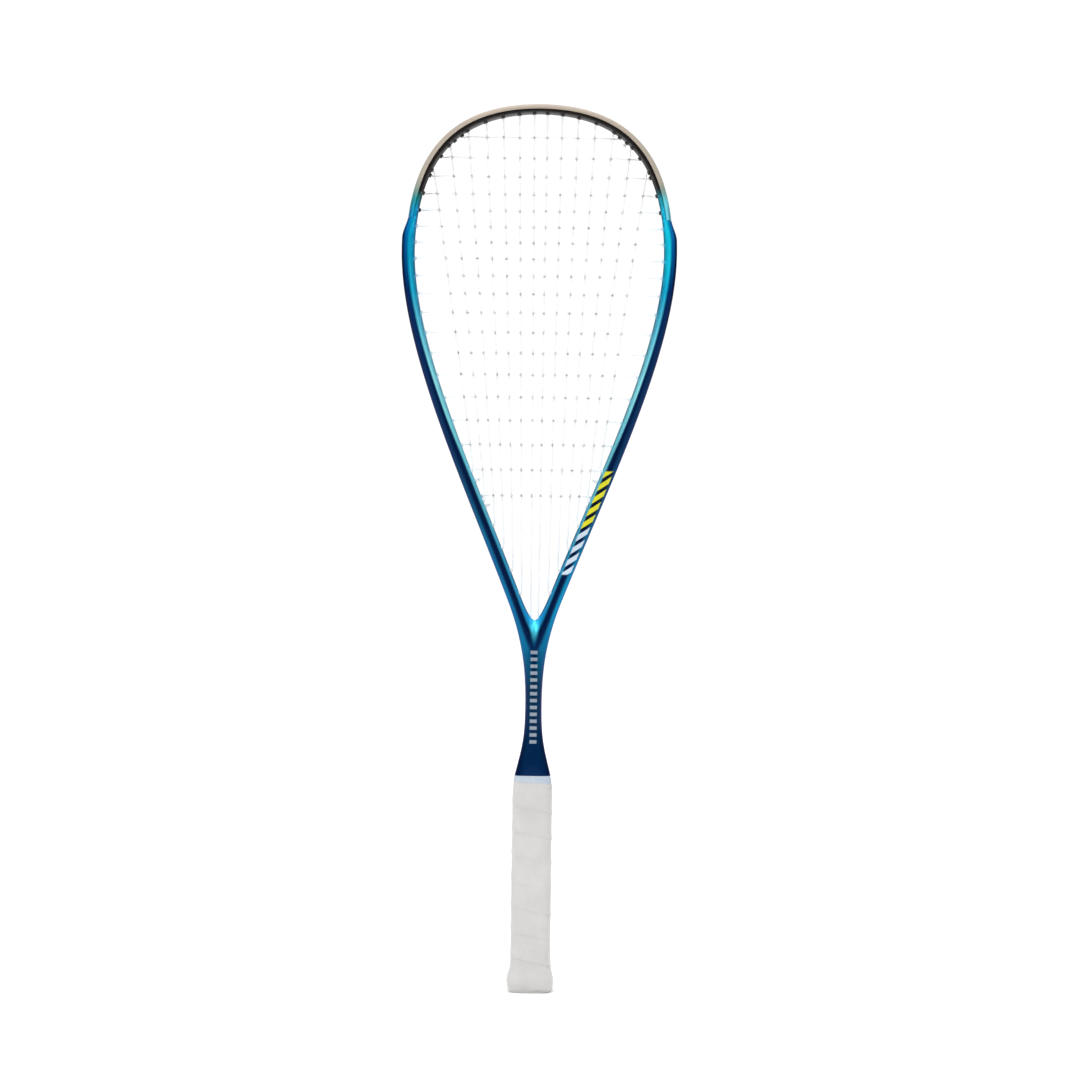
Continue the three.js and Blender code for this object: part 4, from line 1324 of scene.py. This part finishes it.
def makeGripRubber():
    # tacky cushion skin: fine pores, a soft sheen, a little darker where it was held
    material, made = newMaterial(
        "gripRubber", IOR=1.45, Sheen_Weight=0.35, Sheen_Roughness=0.5, Subsurface_Weight=0.08,
        Subsurface_Radius=(1.0, 0.9, 0.8), Subsurface_Scale=0.001)
    place, _ = made.objectXyz()
    grain = made.group(surfaceGrain, Place=place, Scale=1150.0)
    marks = made.group(handlingMarks, Place=place, Smudge_Scale=34.0)
    drift = made.ramp(made.noise(place, 60.0, 4.0), 0.3, 0.7)
    body = made.mix(drift, srgb(203, 201, 200), srgb(211, 209, 208))
    body = made.mix(marks["Smudges"] * 0.12, body, srgb(188, 187, 185))
    relief = grain["Height"] + made.noise(place, 260.0, 2.0) * 1.2
    made.shade(
        Base_Color=made.mix(grain["Hollows"] * 0.2, body, srgb(176, 178, 175)),
        Roughness=0.58 + marks["Smudges"] * 0.14, Normal=made.bump(relief, 0.35, 0.08 * mm))
    return material


def makeTapeVinyl():
    material, made = newMaterial("tapeVinyl", IOR=1.5, Coat_Roughness=0.15)
    place, _ = made.objectXyz()
    drift = made.noise(place, 120.0)
    weave = made.add(
        "ShaderNodeTexWave", wave_type="BANDS", bands_direction="Z", inputs={"Vector": place, "Scale": 700.0})
    threads = Value(made, weave.outputs["Fac"])
    body = made.mix(made.ramp(drift, 0.3, 0.7), srgb(180, 193, 208), srgb(196, 206, 216))
    made.shade(
        Base_Color=made.mix(threads * 0.12, body, srgb(158, 172, 192)), Roughness=0.34 + drift * 0.2,
        Coat_Weight=drift * 0.4, Normal=made.bump(threads, 0.15, 0.04 * mm))
    return material


def makeCapPlastic():
    material, made = newMaterial("capPlastic", IOR=1.48)
    place, _ = made.objectXyz()
    grain = made.group(surfaceGrain, Place=place, Scale=1300.0)
    marks = made.group(handlingMarks, Place=place)
    body = made.mix(marks["Smudges"] * 0.3, srgb(226, 226, 222), srgb(204, 203, 198))
    made.shade(
        Base_Color=made.mix(marks["Scratches"] * 0.4, body, srgb(172, 170, 166)),
        Roughness=0.4 + marks["Smudges"] * 0.2, Normal=made.bump(grain["Height"], 0.25, 0.06 * mm))
    return material


def makeFoam():
    # cast foam with a fine open cell skin
    material, made = newMaterial("palletFoam", IOR=1.45)
    place, _ = made.objectXyz()
    grain = made.group(surfaceGrain, Place=place, Scale=650.0)
    tint = made.noise(place, 40.0, 4.0)
    body = made.mix(made.ramp(tint, 0.3, 0.7), srgb(196, 176, 132), srgb(214, 196, 154))
    made.shade(
        Base_Color=made.mix(grain["Hollows"] * 0.5, body, srgb(150, 130, 92)),
        Roughness=0.75 + tint * 0.15, Normal=made.bump(grain["Height"], 0.6, 0.15 * mm))
    return material


def makeWireSteel():
    material, made = newMaterial("wireSteel", IOR=2.5, Metallic=1.0)
    place, _ = made.objectXyz()
    marks = made.group(handlingMarks, Place=place, Scratch_Scale=600.0)
    made.shade(
        Base_Color=made.mix(marks["Smudges"] * 0.4, srgb(178, 180, 184), srgb(138, 136, 132)),
        Roughness=0.28 + marks["Scratches"] * 0.3)
    return material


def dressNode(node, material):
    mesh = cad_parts[node].data
    mesh.materials.clear()
    mesh.materials.append(material)


tellStage("handle")
placePiece(makeGrip(), makeGripRubber(), "grip_cushion", "grip")
placePiece(makeTape(), makeTapeVinyl(), "tape", "finishing_tape")
placePiece(makeCap(), makeCapPlastic(), "cap_plastic", "butt_cap")
dressNode("handle_pallet", makeFoam())
wireSteel = makeWireSteel()
for fastener in ("cap_staple_front", "cap_staple_back", "grip_tack"):
    dressNode(fastener, wireSteel)


# floor, light and camera

studio = {
    "floorRadius": 14.0,
    "cameraDistance": 2.0,
    "seenWidth": 0.837,
    "aim": (0.0034, 0.349),
    "rollDegrees": 0.75,
    "horizon": 0.10,
    "ceiling": 0.8,
    "overheadStrength": 1.3,
    "backdrop": 1.05,
    "keyPower": 29.0,
    "fillPower": 12.0,
    "backPower": 18.0,
}


def makeFloor():
    # a flat round sheet of rings, with a faint unevenness only in its colour
    radius = np.linspace(0.0, 1.0, 24)[1:] ** 2 * studio["floorRadius"]
    angle = np.linspace(0, 2 * np.pi, 96, endpoint=False)
    r, a = np.meshgrid(radius, angle, indexing="ij")
    points = np.stack([r * np.cos(a), r * np.sin(a), 0 * r - 0.02 * mm], axis=-1)
    rows, cols = points.shape[:2]
    mesh = bpy.data.meshes.new("studio_floor")
    quads = gridFaces(rows, cols)
    mesh.from_pydata(points.reshape(-1, 3).tolist(), [], quads[:, ::-1].tolist() + [list(range(cols))])
    material, made = newMaterial("floorPaper", IOR=1.3, Specular_IOR_Level=0.0, Roughness=0.9)
    place, _ = made.objectXyz()
    made.shade(Base_Color=made.mix(made.noise(place, 2.0), srgb(251, 251, 251), srgb(254, 254, 254)))
    mesh.materials.append(material)
    floor = bpy.data.objects.new("studio_floor", mesh)
    bpy.context.scene.collection.objects.link(floor)


def softLight(name, place, aim, width, power):
    lamp = bpy.data.lights.new(name, "AREA")
    lamp.shape = "SQUARE"
    lamp.size = width
    lamp.energy = power
    holder = bpy.data.objects.new(name, lamp)
    holder.location = place
    holder.rotation_mode = "QUATERNION"
    holder.rotation_quaternion = (Vector(aim) - Vector(place)).to_track_quat("-Z", "Y")
    bpy.context.scene.collection.objects.link(holder)


def makeStudio():
    # The backdrop is white to the eye. What it lights sees a bright ceiling over a dim horizon.
    world = bpy.data.worlds.new("studioWhite")
    world.use_nodes = True
    made = Nodes(world.node_tree)
    shade = world.node_tree.nodes["Background"]
    way = made.add("ShaderNodeTexCoord").outputs["Generated"]
    height = made.add("ShaderNodeSeparateXYZ", inputs={0: way}).outputs[2]
    ambient = made.ramp(height, 0.1, 0.9) * studio["ceiling"] + studio["horizon"]
    seen = Value(made, made.add("ShaderNodeLightPath").outputs["Is Camera Ray"])
    made.put(shade.inputs[1], made.math("MAXIMUM", ambient, seen * studio["backdrop"]))
    shade.inputs[0].default_value = (1.0, 1.0, 1.0, 1.0)
    bpy.context.scene.world = world
    bpy.context.scene.view_settings.view_transform = "Standard"
    middle = (0.0, 0.0, 0.35)
    softLight("keyLight", (-1.5, -1.9, 2.3), middle, 2.0, studio["keyPower"])
    softLight("fillLight", (1.8, -1.8, 1.9), middle, 2.0, studio["fillPower"])
    softLight("backLight", (0.4, 2.6, 2.2), middle, 2.6, studio["backPower"])
    overhead = bpy.data.lights.new("overheadLight", "SUN")
    overhead.energy = studio["overheadStrength"]
    overhead.angle = math.radians(50)
    holder = bpy.data.objects.new("overheadLight", overhead)
    bpy.context.scene.collection.objects.link(holder)


def makeCamera():
    lens = bpy.data.cameras.new("viewCamera")
    lens.sensor_width = 36.0
    lens.lens = 36.0 * studio["cameraDistance"] / studio["seenWidth"]
    lens.clip_start = 0.05
    lens.clip_end = 60.0
    camera = bpy.data.objects.new("viewCamera", lens)
    camera.location = (studio["aim"][0], -studio["cameraDistance"], studio["aim"][1])
    camera.rotation_euler = (math.radians(90), math.radians(-studio["rollDegrees"]), 0)
    bpy.context.scene.collection.objects.link(camera)
    bpy.context.scene.camera = camera


tellStage("studio")
makeFloor()
makeStudio()
makeCamera()

tellStage("size")
